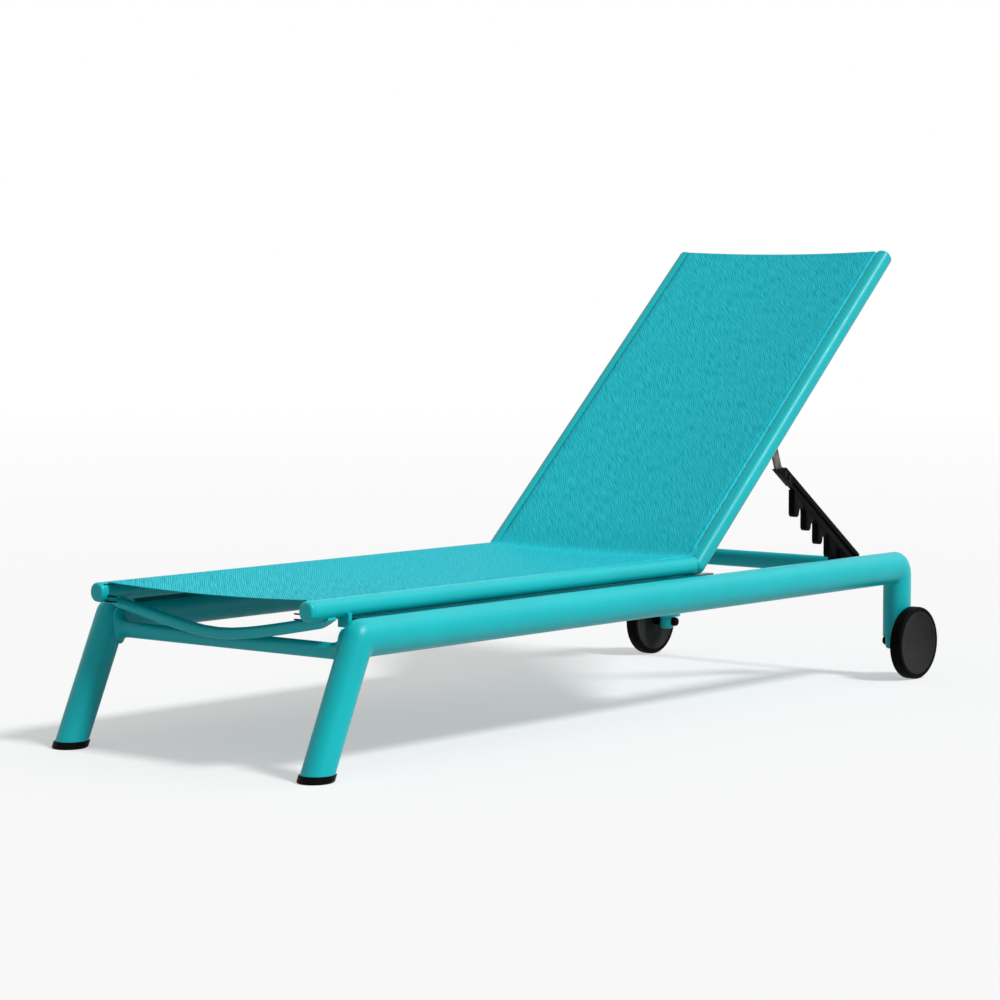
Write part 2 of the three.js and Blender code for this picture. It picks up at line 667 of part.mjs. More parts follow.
// The cap on a rail's open end: a rounded disc of the rail's outline with a plug. It faces -Y.
function endCap() {
  const section = (y, shrink) => ({
    centre: new THREE.Vector3(0, y, 0),
    u: X_AXIS,
    v: Z_AXIS,
    a: HALF_WIDTH - shrink,
    b: HALF_HEIGHT - shrink,
  });
  const dome = DOME_STEPS.map((t) => {
    const height = END_CAP_THICKNESS * Math.sqrt(1 - t * t);
    return section(-height, (HALF_WIDTH / 3) * (1 - t));
  });
  const disc = loft([...dome, section(END_CAP_THICKNESS / 3, 0)], { squareness: PROFILE_SQUARENESS });
  const plug = cylinderY(
    CHAMBER_RADIUS - SEAT_CLEARANCE,
    0,
    END_CAP_THICKNESS / 3 + END_CAP_PLUG,
    ...CHAMBER_OFFSET,
  );
  return join(disc, plug);
}

// The pin, pushed in from the inner side as far as its head.
function hingePin() {
  const seat = -HALF_WIDTH - SEAT_CLEARANCE;
  return join(
    cylinderX(HINGE_PIN_RADIUS, seat, HALF_WIDTH - HINGE_PIN_WALL - SEAT_CLEARANCE),
    cylinderX(HINGE_PIN_HEAD, seat - HINGE_PIN_HEAD_LENGTH, seat),
  );
}

// The steel plate under the hinge on which the back rail lies when the back is down.
function stopPlate(grow = 0) {
  const top = -HALF_HEIGHT - SEAT_CLEARANCE;
  const half = STOP_PLATE_WIDTH / 2 + grow;
  return box(
    [-half, half],
    [STOP_PLATE_PAST_HINGE - STOP_PLATE_LENGTH - grow, STOP_PLATE_PAST_HINGE + grow],
    [top - STOP_PLATE_THICKNESS - grow, top + grow],
  );
}

// ---------------------------------------------------------------- slings
// A sheet stretched between the rails' channels, sagging a little across its width.
function sling(y0, y1, z, sag) {
  const height = (x) => z - sag * (1 - (x / SLING_EDGE_X) ** 2);
  const shape = new THREE.Shape();
  const half = SLING_THICKNESS / 2;
  shape.moveTo(-SLING_EDGE_X, z - half);
  for (let i = 1; i <= 2 * SAG_STEPS; i += 1) {
    const x = SLING_EDGE_X * (i / SAG_STEPS - 1);
    shape.lineTo(x, height(x) - half);
  }
  for (let i = 2 * SAG_STEPS; i >= 0; i -= 1) {
    const x = SLING_EDGE_X * (i / SAG_STEPS - 1);
    shape.lineTo(x, height(x) + half);
  }
  shape.closePath();
  return alongY(shape, y0, y1);
}

const slingRod = (y0, y1) => cylinderY(ROD_RADIUS, y0, y1, ...CHANNEL_OFFSET, SMALL_SIDES);

// ---------------------------------------------------------------- seat supports
// A block between a seat rail and the side frame beside it, shaped to both.
function seatBlock(x, y, z) {
  const outline = profileShape(SEAT_CLEARANCE);
  const seatRoom = alongY(outline, y[0] - TOOL_OVERRUN, y[1] + TOOL_OVERRUN).translate([SEAT_X, 0, SEAT_Z]);
  return cut(box(x, y, z), sideFrameRoom(), seatRoom);
}

function seatPacker() {
  const y = [FRONT_BRACKET_Y + PACKER_BEHIND_BRACKET, HINGE_Y - PACKER_BEFORE_HINGE];
  const plateRoom = stopPlate(SEAT_CLEARANCE).translate([SEAT_X, HINGE_Y, SEAT_Z]);
  return cut(seatBlock(PACKER_X, y, PACKER_Z), plateRoom);
}

// ---------------------------------------------------------------- wheels
function tyre() {
  const inner = WHEEL_RADIUS - TYRE_DEPTH + SEAT_CLEARANCE;
  const shoulder = SHOULDER_STEPS.map((t) => [
    TYRE_SHOULDER * (1 - Math.sin((t * Math.PI) / 2)),
    TYRE_SHOULDER * (1 - Math.cos((t * Math.PI) / 2)),
  ]);
  const left = shoulder.map(([dx, dr]) => [WHEEL_INNER_X + dx, WHEEL_RADIUS - dr]).reverse();
  const right = shoulder.map(([dx, dr]) => [WHEEL_OUTER_X - dx, WHEEL_RADIUS - dr]);
  const start = [WHEEL_INNER_X, inner];
  const section = [start, ...left, ...right, [WHEEL_OUTER_X, inner], start];
  return revolveX(section, AXLE_Y, WHEEL_RADIUS, WHEEL_SIDES);
}

function wheelHub() {
  const outer = WHEEL_RADIUS - TYRE_DEPTH;
  const rimInside = outer - RIM_WIDTH;
  const outerFace = WHEEL_OUTER_X - RIM_HEIGHT;
  const innerFace = WHEEL_INNER_X + RIM_HEIGHT;
  const bore = AXLE_RADIUS + SEAT_CLEARANCE;
  return revolveX([
    [outerFace, 0],
    [outerFace, rimInside - RIM_HEIGHT],
    [WHEEL_OUTER_X - RIM_HEIGHT / 3, rimInside],
    [WHEEL_OUTER_X, rimInside + RIM_HEIGHT / 2],
    [WHEEL_OUTER_X, outer - RIM_HEIGHT / 2],
    [WHEEL_OUTER_X - RIM_HEIGHT / 2, outer],
    [WHEEL_INNER_X + RIM_HEIGHT / 2, outer],
    [WHEEL_INNER_X, outer - RIM_HEIGHT / 2],
    [WHEEL_INNER_X, rimInside + RIM_HEIGHT / 2],
    [WHEEL_INNER_X + RIM_HEIGHT / 3, rimInside],
    [innerFace, rimInside - RIM_HEIGHT],
    [innerFace, HUB_BOSS_RADIUS + RIM_HEIGHT],
    [WHEEL_INNER_X, HUB_BOSS_RADIUS],
    [WHEEL_INNER_X, bore],
    [outerFace - HUB_FACE, bore],
    [outerFace - HUB_FACE, 0],
  ], AXLE_Y, WHEEL_RADIUS, WHEEL_SIDES);
}

// The spacer on the axle between the lug and the wheel.
function spacer() {
  const [x0, x1] = [LUG_X[1] + SEAT_CLEARANCE, WHEEL_INNER_X - SEAT_CLEARANCE];
  return cut(cylinderX(SPACER_RADIUS, x0, x1, AXLE_Y, WHEEL_RADIUS), axleHole(x0, x1));
}

const AXLE_INNER_X = LUG_X[0] - NUT_LENGTH / 2;

function axle() {
  const outerEnd = WHEEL_OUTER_X - RIM_HEIGHT - HUB_FACE - SEAT_CLEARANCE;
  return cylinderX(AXLE_RADIUS, AXLE_INNER_X, outerEnd, AXLE_Y, WHEEL_RADIUS, SMALL_SIDES);
}

// The domed nut on the axle's inner end.
function axleNut() {
  const seat = LUG_X[0] - SEAT_CLEARANCE;
  const bore = AXLE_RADIUS + SEAT_CLEARANCE;
  const dome = DOME_STEPS.map((t) => [
    seat - NUT_LENGTH + (NUT_LENGTH / 2) * (1 - Math.sqrt(1 - t * t)),
    NUT_RADIUS * t,
  ]);
  return revolveX([
    ...dome,
    [seat, NUT_RADIUS],
    [seat, bore],
    [AXLE_INNER_X - SEAT_CLEARANCE, bore],
    [AXLE_INNER_X - SEAT_CLEARANCE, 0],
  ], AXLE_Y, WHEEL_RADIUS, ROUND_SIDES);
}

// ---------------------------------------------------------------- ratchet racks
// Drawn in y and z from the pivot. `square` is a distance below the top edge, square to it.
const rackTopZ = (y) => -RACK_TOP_DROP / Math.cos(RACK_SLOPE) - y * Math.tan(RACK_SLOPE);
const rackLineZ = (y, square) => rackTopZ(y) - square / Math.cos(RACK_SLOPE);
const rackPoint = (along, square) => new THREE.Vector2(
  along * Math.cos(RACK_SLOPE) - (RACK_TOP_DROP + square) * Math.sin(RACK_SLOPE),
  -along * Math.sin(RACK_SLOPE) - (RACK_TOP_DROP + square) * Math.cos(RACK_SLOPE),
);
const notchY = (k) => FIRST_NOTCH_Y + k * NOTCH_PITCH;
const notchRootZ = (k) => rackLineZ(FIRST_NOTCH_Y, SPINE_TO_NOTCH) - k * RACK_PITCH_Z;
const notchZ = (k) => notchRootZ(k) - NOTCH_RADIUS;

function rackOutline() {
  const shape = new THREE.Shape();
  const head = rackPoint(RACK_HEAD_TOP, 0);
  const tail = rackPoint(RACK_TAIL_END, 0);
  const lastNotch = NOTCH_COUNT - 1;
  const lip = notchRootZ(lastNotch) - TAIL_LIP;
  shape.moveTo(head.x, head.y);
  shape.lineTo(tail.x, tail.y);
  shape.lineTo(tail.x, lip);
  shape.lineTo(notchY(lastNotch) + NOTCH_RADIUS, lip);
  for (let k = lastNotch; k >= 0; k -= 1) {
    const fingerY = notchY(k) - NOTCH_RADIUS - FINGER_WIDTH / 2;
    if (k === BLIND_NOTCH) {
      shape.lineTo(fingerY + FINGER_WIDTH / 2, notchZ(k + 1));
    } else {
      shape.lineTo(notchY(k) + NOTCH_RADIUS, notchZ(k));
      shape.absarc(notchY(k), notchZ(k), NOTCH_RADIUS, 0, Math.PI, false);
    }
    shape.absarc(fingerY, notchZ(k), FINGER_WIDTH / 2, 0, Math.PI, true);
  }
  const frontY = notchY(0) - NOTCH_RADIUS - FINGER_WIDTH;
  shape.lineTo(frontY, rackLineZ(frontY, RACK_HANDLE_DEPTH));
  const chin = rackPoint(RACK_HEAD_START, RACK_HANDLE_DEPTH);
  shape.lineTo(chin.x, chin.y);
  shape.closePath();
  return shape;
}

// A shape drawn in y and z, carried along X about the middle of `x`.
function acrossX(shape, x0, x1, segments = RACK_CURVE_STEPS) {
  const options = { depth: x1 - x0, bevelEnabled: false, curveSegments: segments };
  const geometry = new THREE.ExtrudeGeometry(shape, options);
  geometry.applyMatrix4(new THREE.Matrix4().makeBasis(Y_AXIS, Z_AXIS, X_AXIS));
  geometry.translate(x0, 0, 0);
  return solidOf(geometry);
}

// A straight slot outline with round ends between two points.
function capsule(p, q, radius) {
  const angle = Math.atan2(q.y - p.y, q.x - p.x);
  const shape = new THREE.Shape();
  shape.absarc(p.x, p.y, radius, angle + Math.PI / 2, angle + (3 * Math.PI) / 2, false);
  shape.absarc(q.x, q.y, radius, angle - Math.PI / 2, angle + Math.PI / 2, false);
  shape.closePath();
  return shape;
}

const RACK_PLAY = RACK_THICKNESS / 2;
const RIVET_REACH = RACK_PLAY + SEAT_CLEARANCE;

// Where the tongue's bend and its end lie, and the rivets through it.
const tonguePoint = (along) => rackPoint(along, TONGUE_DEPTH - RACK_TOP_DROP);
const TONGUE_BEND_AT = tonguePoint(TONGUE_BEND);
const TONGUE_END_AT = tonguePoint(TONGUE_END - TONGUE_SHANK_RADIUS);
const RIVETS_AT = RIVET_PLACES.map(tonguePoint);
const PIVOT_AT = new THREE.Vector2(0, 0);

function rack() {
  const body = acrossX(rackOutline(), -RACK_PLAY, RACK_PLAY);
  const recessMiddle = RACK_FLANGE_DEPTH + RACK_RECESS_DEPTH / 2;
  const recess = capsule(
    rackPoint(TONGUE_END + RACK_RECESS_DEPTH, recessMiddle),
    rackPoint(RACK_TAIL_END - RACK_FLANGE_DEPTH, recessMiddle),
    RACK_RECESS_DEPTH / 2,
  );
  const arch = capsule(
    new THREE.Vector2(notchY(BLIND_NOTCH), notchZ(BLIND_NOTCH)),
    new THREE.Vector2(notchY(BLIND_NOTCH), notchZ(BLIND_NOTCH + 1)),
    NOTCH_RADIUS - RACK_POCKET,
  );
  const recesses = [recess, arch].flatMap((shape) => [
    acrossX(shape, RACK_PLAY - RACK_POCKET, RACK_THICKNESS, RECESS_CURVE_STEPS),
    acrossX(shape, -RACK_THICKNESS, RACK_POCKET - RACK_PLAY, RECESS_CURVE_STEPS),
  ]);
  const slotHalf = TONGUE_THICKNESS / 2 + SEAT_CLEARANCE;
  const slots = [
    capsule(TONGUE_BEND_AT, TONGUE_END_AT, TONGUE_SHANK_RADIUS + SEAT_CLEARANCE),
    capsule(PIVOT_AT, TONGUE_BEND_AT, TONGUE_NECK_RADIUS + SEAT_CLEARANCE),
  ].map((shape) => acrossX(shape, -slotHalf, slotHalf));
  const holes = RIVETS_AT.map((place) => (
    cylinderX(RIVET_RADIUS + SEAT_CLEARANCE, -RACK_THICKNESS, RACK_THICKNESS, place.x, place.y, SMALL_SIDES)
  ));
  return cut(body, ...recesses, ...slots, ...holes);
}

// The bent steel tongue that hangs the rack on its pivot, with the two rivets through the rack.
function rackTongue() {
  const half = TONGUE_THICKNESS / 2;
  const plate = join(
    acrossX(capsule(TONGUE_BEND_AT, TONGUE_END_AT, TONGUE_SHANK_RADIUS), -half, half),
    acrossX(capsule(PIVOT_AT, TONGUE_BEND_AT, TONGUE_NECK_RADIUS), -half, half),
    cylinderX(TONGUE_EYE_RADIUS, -half, half),
  );
  const top = RIVET_REACH + RIVET_HEAD_HEIGHT;
  const rivets = RIVETS_AT.flatMap((place) => [
    cylinderX(RIVET_RADIUS, -top, top, place.x, place.y, SMALL_SIDES),
    cylinderX(RIVET_HEAD_RADIUS, RIVET_REACH, top, place.x, place.y, SMALL_SIDES),
    cylinderX(RIVET_HEAD_RADIUS, -top, -RIVET_REACH, place.x, place.y, SMALL_SIDES),
  ]);
  const eye = cylinderX(RACK_PIN_RADIUS + SEAT_CLEARANCE, -RACK_THICKNESS, RACK_THICKNESS);
  return cut(join(plate, ...rivets), eye);
}

// The ear on the back rail's inner flank, drawn from the rail's centre line at the pivot.
const EAR_OUTER = SEAT_X - HALF_WIDTH - RACK_X - SEAT_CLEARANCE;

function rackEar() {
  const ear = capsule(
    new THREE.Vector2(0, EAR_TOP - EAR_RADIUS),
    new THREE.Vector2(0, -RACK_PIVOT_BELOW_BACK),
    EAR_RADIUS,
  );
  return cut(
    acrossX(ear, EAR_OUTER - EAR_THICKNESS, EAR_OUTER),
    cylinderX(RACK_PIN_RADIUS + SEAT_CLEARANCE, 0, RACK_THICKNESS, 0, -RACK_PIVOT_BELOW_BACK),
  );
}

// The shoulder pin through the ear and the tongue's eye.
function rackPin() {
  const inner = -TONGUE_THICKNESS / 2 - SEAT_CLEARANCE;
  const outer = EAR_OUTER + SEAT_CLEARANCE;
  const z = -RACK_PIVOT_BELOW_BACK;
  return join(
    cylinderX(RACK_PIN_RADIUS, inner - RACK_PIN_HEAD, outer + RACK_PIN_HEAD, 0, z),
    cylinderX(RACK_PIN_HEAD_RADIUS, inner - RACK_PIN_HEAD, inner, 0, z),
    cylinderX(RACK_PIN_HEAD_RADIUS, outer, outer + RACK_PIN_HEAD, 0, z),
  );
}

// The stud on the side frame that the rack's last notch sits over.
function rackStud() {
  const y = RACK_PIVOT.x + notchY(NOTCH_COUNT - 1);
  const z = RACK_PIVOT.y + notchRootZ(NOTCH_COUNT - 1) - STUD_RADIUS - SEAT_CLEARANCE;
  const inner = RACK_X + RACK_PLAY + STUD_SIDE_GAP;
  const face = RAIL_X - TUBE_WIDTH / 2;
  const stud = join(
    cylinderX(STUD_RADIUS, inner, RAIL_X, y, z),
    cylinderX(STUD_FLANGE_RADIUS, face - STUD_FLANGE_LENGTH, RAIL_X, y, z),
  );
  return cut(stud, sideFrameRoom());
}

// ---------------------------------------------------------------- assembly
const lounger = new THREE.Group();
const back = new THREE.Group();
back.position.set(0, HINGE_Y, SEAT_Z);
back.rotation.x = BACK_ANGLE;
lounger.add(back);
const racks = new THREE.Group();
racks.position.set(0, RACK_PIVOT.x, RACK_PIVOT.y);
lounger.add(racks);

function add(parent, name, solid, material) {
  const mesh = new THREE.Mesh(geometryOf(solid), material);
  mesh.name = name;
  parent.add(mesh);
}

// Adds a right-hand piece and its mirror image.
function addPair(parent, name, solid, material, x = 0) {
  const right = solid.translate([x, 0, 0]);
  add(parent, `${name}_right`, right, material);
  add(parent, `${name}_left`, right.mirror([1, 0, 0]), material);
}

addPair(lounger, 'side_frame', sideFrame(), FRAME_PAINT);
addPair(lounger, 'foot_cap', footCap(), BLACK_NYLON);
addPair(lounger, 'leg_end_cap', legEndCap(), FRAME_PAINT);
const frontBar = [FRONT_BAR_Y, FRONT_BAR_Z, FRONT_BAR_DEPTH, FRONT_BAR_HEIGHT, FRONT_BAR_FLARE];
add(lounger, 'front_crossbar', crossBar(...frontBar), FRAME_PAINT);
const rearBar = [REAR_BAR_Y, REAR_BAR_Z, REAR_BAR_DEPTH, REAR_BAR_HEIGHT, REAR_BAR_FLARE];
add(lounger, 'rear_crossbar', crossBar(...rearBar), FRAME_PAINT);
const halfBracket = FRONT_BRACKET_LENGTH / 2;
const bracketEnds = [FRONT_BRACKET_Y - halfBracket, FRONT_BRACKET_Y + halfBracket];
const frontBracket = seatBlock(FRONT_BRACKET_X, bracketEnds, FRONT_BRACKET_Z);
addPair(lounger, 'seat_bracket_front', frontBracket, FRAME_PAINT);
addPair(lounger, 'seat_packer', seatPacker(), BLACK_NYLON);
addPair(lounger, 'rack_stud', rackStud(), STEEL);

const seatRail = rail(SEAT_FRONT_Y - HINGE_Y, 0, -1).translate([SEAT_X, HINGE_Y, SEAT_Z]);
addPair(lounger, 'seat_rail', seatRail, FRAME_PAINT);
const seatCap = endCap().translate([SEAT_X, SEAT_FRONT_Y - END_CAP_THICKNESS / 3 - SEAT_CLEARANCE, SEAT_Z]);
addPair(lounger, 'seat_end_cap', seatCap, FRAME_PAINT);
addPair(lounger, 'stop_plate', stopPlate().translate([SEAT_X, HINGE_Y, SEAT_Z]), STEEL);
addPair(lounger, 'hinge_pin', hingePin().translate([SEAT_X, HINGE_Y, SEAT_Z]), STEEL);

const rearBowY = HINGE_Y - REAR_BOW_FROM_HINGE;
add(lounger, 'seat_bow_front', bow(FRONT_BOW_Y, SEAT_Z, FRONT_BOW_HALF_SPAN), FRAME_PAINT);
add(lounger, 'seat_bow_rear', bow(rearBowY, SEAT_Z), FRAME_PAINT);

const seatSlingEnds = [SEAT_FRONT_Y + SLING_END_MARGIN, HINGE_Y - SLING_HINGE_GAP];
add(lounger, 'seat_sling', sling(...seatSlingEnds, SEAT_Z + SLING_HEIGHT, SEAT_SLING_SAG), SLING_FABRIC);
const seatRod = slingRod(SEAT_FRONT_Y + SEAT_CLEARANCE, HINGE_Y - SLING_HINGE_GAP);
addPair(lounger, 'seat_sling_rod', seatRod.translate([0, 0, SEAT_Z]), BLACK_NYLON, SEAT_X);

addPair(back, 'back_rail', rail(0, BACK_LENGTH, 1), FRAME_PAINT, SEAT_X);
const backCap = endCap().rotate([0, 0, 180]).mirror([1, 0, 0]);
const backCapY = BACK_LENGTH + END_CAP_THICKNESS / 3 + SEAT_CLEARANCE;
addPair(back, 'back_end_cap', backCap.translate([SEAT_X, backCapY, 0]), FRAME_PAINT);
const backTopBowY = BACK_LENGTH - BACK_TOP_BOW_FROM_END;
add(back, 'back_bow_top', bow(backTopBowY, 0), FRAME_PAINT);
const backSlingEnds = [SLING_HINGE_GAP, BACK_LENGTH - SLING_END_MARGIN];
add(back, 'back_sling', sling(...backSlingEnds, SLING_HEIGHT, BACK_SLING_SAG), SLING_FABRIC);
const backRod = slingRod(SLING_HINGE_GAP, BACK_LENGTH - SEAT_CLEARANCE);
addPair(back, 'back_sling_rod', backRod, BLACK_NYLON, SEAT_X);
addPair(back, 'rack_ear', rackEar().translate([RACK_X, RACK_PIVOT_ALONG_BACK, 0]), STEEL);
addPair(back, 'rack_pin', rackPin().translate([RACK_X, RACK_PIVOT_ALONG_BACK, 0]), STEEL);

addPair(racks, 'rack', rack(), BLACK_NYLON, RACK_X);
addPair(racks, 'rack_tongue', rackTongue(), STEEL, RACK_X);

addPair(lounger, 'tyre', tyre(), TYRE_RUBBER);
addPair(lounger, 'wheel_hub', wheelHub(), BLACK_NYLON);
addPair(lounger, 'wheel_spacer', spacer(), BLACK_NYLON);
addPair(lounger, 'axle', axle(), STEEL);
addPair(lounger, 'axle_nut', axleNut(), BLACK_NYLON);

lounger.updateMatrixWorld(true);

export default lounger;
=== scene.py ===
"""Looks, stage and camera for the reclining sun lounger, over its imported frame.

Metres. +X is the right-hand side seen from the foot end, +Y points to the head end, +Z is up.
"""

import json
import logging
import math
from dataclasses import dataclass, field
from enum import Enum
from typing import Sequence

import bmesh
import bpy
from mathutils import Euler, Matrix, Vector

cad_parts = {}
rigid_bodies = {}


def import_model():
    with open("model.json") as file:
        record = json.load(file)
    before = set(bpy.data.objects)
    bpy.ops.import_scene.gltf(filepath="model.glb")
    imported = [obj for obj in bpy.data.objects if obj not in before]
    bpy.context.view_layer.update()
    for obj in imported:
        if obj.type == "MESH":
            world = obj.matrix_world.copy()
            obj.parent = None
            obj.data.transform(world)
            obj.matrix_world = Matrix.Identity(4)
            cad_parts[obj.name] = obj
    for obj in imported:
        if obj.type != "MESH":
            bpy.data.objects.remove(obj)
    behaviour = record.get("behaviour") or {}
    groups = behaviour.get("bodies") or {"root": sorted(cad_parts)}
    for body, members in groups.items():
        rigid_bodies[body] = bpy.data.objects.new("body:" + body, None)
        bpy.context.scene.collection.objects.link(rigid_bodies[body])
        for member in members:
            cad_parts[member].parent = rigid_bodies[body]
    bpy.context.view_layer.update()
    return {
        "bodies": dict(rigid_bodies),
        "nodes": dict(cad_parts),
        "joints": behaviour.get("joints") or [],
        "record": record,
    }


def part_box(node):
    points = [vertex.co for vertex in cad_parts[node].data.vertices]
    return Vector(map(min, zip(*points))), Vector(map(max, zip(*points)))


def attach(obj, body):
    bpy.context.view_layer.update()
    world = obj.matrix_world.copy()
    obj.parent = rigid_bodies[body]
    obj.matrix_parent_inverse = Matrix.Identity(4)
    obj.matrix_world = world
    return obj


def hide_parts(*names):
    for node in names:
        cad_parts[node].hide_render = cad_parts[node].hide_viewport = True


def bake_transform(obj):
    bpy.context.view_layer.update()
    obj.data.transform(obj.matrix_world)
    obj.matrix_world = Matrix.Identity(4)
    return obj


LOG = logging.getLogger("lounger")

Colour = tuple[float, float, float]
Point = tuple[float, float, float]
Span = tuple[float, float]
Tones = tuple[str, str]

MERGE_WITHIN = 0.00001
SMOOTH_UP_TO = math.radians(40.0)
SMOOTH_TUBE_UP_TO = math.radians(35.0)
WHITE = (1.0, 1.0, 1.0, 1.0)

# The sRGB curve: a straight part up to the knee, and a power above it.
SRGB_KNEE = 0.04045
SRGB_SLOPE = 12.92
SRGB_SHIFT = 0.055
SRGB_POWER = 2.4

# A Mix node lists the sockets of every data type: these are the colour ones.
MIX_SHARE, MIX_FIRST, MIX_SECOND, MIX_RESULT = 0, 6, 7, 2


class Body(str, Enum):
    """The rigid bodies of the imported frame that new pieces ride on."""

    FRAME = "frame"
    BACK = "back"
    RACKS = "racks"


class Side(Enum):
    """The two sides of the lounger."""

    LEFT = -1
    RIGHT = 1

    @property
    def suffix(self) -> str:
        """The side's ending in a piece's name."""
        return self.name.lower()


# ---------------------------------------------------------------- small helpers
def linear(colour: str) -> Colour:
    """The linear values of a hex sRGB colour.

    Args:
        colour: six hex digits.

    Returns:
        Red, green and blue from 0 to 1.
    """
    values = [int(colour[i:i + 2], 16) / 255 for i in (0, 2, 4)]
    return tuple(
        v / SRGB_SLOPE if v <= SRGB_KNEE else ((v + SRGB_SHIFT) / (1 + SRGB_SHIFT)) ** SRGB_POWER
        for v in values
    )


def deselect() -> None:
    """Clears the selection."""
    if bpy.context.mode != "OBJECT":
        bpy.ops.object.mode_set(mode="OBJECT")
    bpy.ops.object.select_all(action="DESELECT")


class NodeTree:
    """A short way to build the nodes of one material or world."""

    def __init__(self, owner: bpy.types.Material | bpy.types.World) -> None:
        """Turns the owner's nodes on.

        Args:
            owner: the material or the world.
        """
        owner.use_nodes = True
        self.owner = owner
        self.tree = owner.node_tree

    @classmethod
    def material(cls, name: str) -> "NodeTree":
        """Starts a material with a Principled shader."""
        return cls(bpy.data.materials.new(name))

    def add(self, kind: str, settings: dict | None = None, **inputs: object) -> bpy.types.Node:
        """Adds a node.

        Args:
            kind: the node's type name, without its ShaderNode prefix.
            settings: the node's own properties.
            inputs: values or output sockets, by input name, with spaces as underscores.

        Returns:
            The new node.
        """
        node = self.tree.nodes.new(f"ShaderNode{kind}")
        for key, value in (settings or {}).items():
            setattr(node, key, value)
        for key, value in inputs.items():
            self.feed(node, key.replace("_", " "), value)
        return node

    def feed(self, node: bpy.types.Node, name: str | int, value: object) -> None:
        """Sets or links an input.

        Args:
            node: the node to feed.
            name: the input's name or number.
            value: a plain value or an output socket.
        """
        socket = node.inputs[name]
        if isinstance(value, bpy.types.NodeSocket):
            self.tree.links.new(value, socket)
        else:
            socket.default_value = value

    def place(self) -> bpy.types.NodeSocket:
        """The object's own coordinates."""
        return self.add("TexCoord").outputs["Object"]

    def maths(self, operation: str, *values: object) -> bpy.types.NodeSocket:
        """Adds a Math node.

        Args:
            operation: the Math node's operation.
            values: up to three values or sockets.

        Returns:
            The result socket.
        """
        node = self.add("Math", {"operation": operation})
        for index, value in enumerate(values):
            self.feed(node, index, value)
        return node.outputs[0]

    def noise(self, vector: object, scale: float, detail: float,
              roughness: float = 0.5) -> bpy.types.NodeSocket:
        """Adds a noise texture.

        Args:
            vector: the coordinates.
            scale: how many features to a metre, or to a unit of the coordinates.
            detail: octaves.
            roughness: how strong the fine octaves are.

        Returns:
            The noise value.
        """
        node = self.add("TexNoise", Vector=vector, Scale=scale, Detail=detail, Roughness=roughness)
        return node.outputs["Fac"]

    def ramp(self, value: object, stops: Sequence[tuple[float, str]]) -> bpy.types.NodeSocket:
        """Adds a colour ramp.

        Args:
            value: the factor socket.
            stops: position and hex colour of each stop.

        Returns:
            The colour socket.
        """
        node = self.add("ValToRGB", Fac=value)
        elements = node.color_ramp.elements
        while len(elements) < len(stops):
            elements.new(0.5)
        for element, (position, colour) in zip(elements, stops):
            element.position = position
            element.color = (*linear(colour), 1.0)
        return node.outputs["Color"]

    def mix_colours(self, share: object, first: object, second: object) -> bpy.types.NodeSocket:
        """Mixes two colours.

        Args:
            share: the second colour's share, from 0 to 1.
            first: the first colour.
            second: the second colour.

        Returns:
            The colour socket.
        """
        node = self.add("Mix", {"data_type": "RGBA"})
        for index, value in ((MIX_SHARE, share), (MIX_FIRST, first), (MIX_SECOND, second)):
            self.feed(node, index, value)
        return node.outputs[MIX_RESULT]

    def spread(self, value: object, low: float, high: float, out_low: float,
               out_high: float) -> bpy.types.NodeSocket:
        """Maps a value from one range to another.

        Args:
            value: the socket to map.
            low: start of the range it comes from.
            high: end of that range.
            out_low: start of the range it goes to.
            out_high: end of that range.

        Returns:
            The mapped value.
        """
        node = self.add("MapRange", Value=value, From_Min=low, From_Max=high, To_Min=out_low,
                        To_Max=out_high)
        return node.outputs["Result"]

    def bump(self, height: object, strength: float, distance: float) -> bpy.types.NodeSocket:
        """Adds a bump node.

        Args:
            height: the height socket.
            strength: from 0 to 1.
            distance: the height of a full step, in metres.

        Returns:
            The normal socket.
        """
        node = self.add("Bump", Height=height, Strength=strength, Distance=distance)
        return node.outputs["Normal"]

    def surface(self, **inputs: object) -> bpy.types.Material:
        """Sets the sockets of the Principled shader.

        Args:
            inputs: values or sockets, by the shader's input names.

        Returns:
            The finished material.
        """
        shader = self.tree.nodes["Principled BSDF"]
        for key, value in inputs.items():
            self.feed(shader, key.replace("_", " "), value)
        return self.owner


# ---------------------------------------------------------------- finishes
@dataclass(frozen=True)
class Speckle:
    """A noise pattern.

    Attributes:
        scale: how many features to a metre.
        detail: octaves.
        roughness: how strong the fine octaves are.
    """

    scale: float
    detail: float
    roughness: float = 0.5

    def value(self, nodes: NodeTree, place: object) -> bpy.types.NodeSocket:
        """The pattern's value at a place."""
        return nodes.noise(place, self.scale, self.detail, self.roughness)


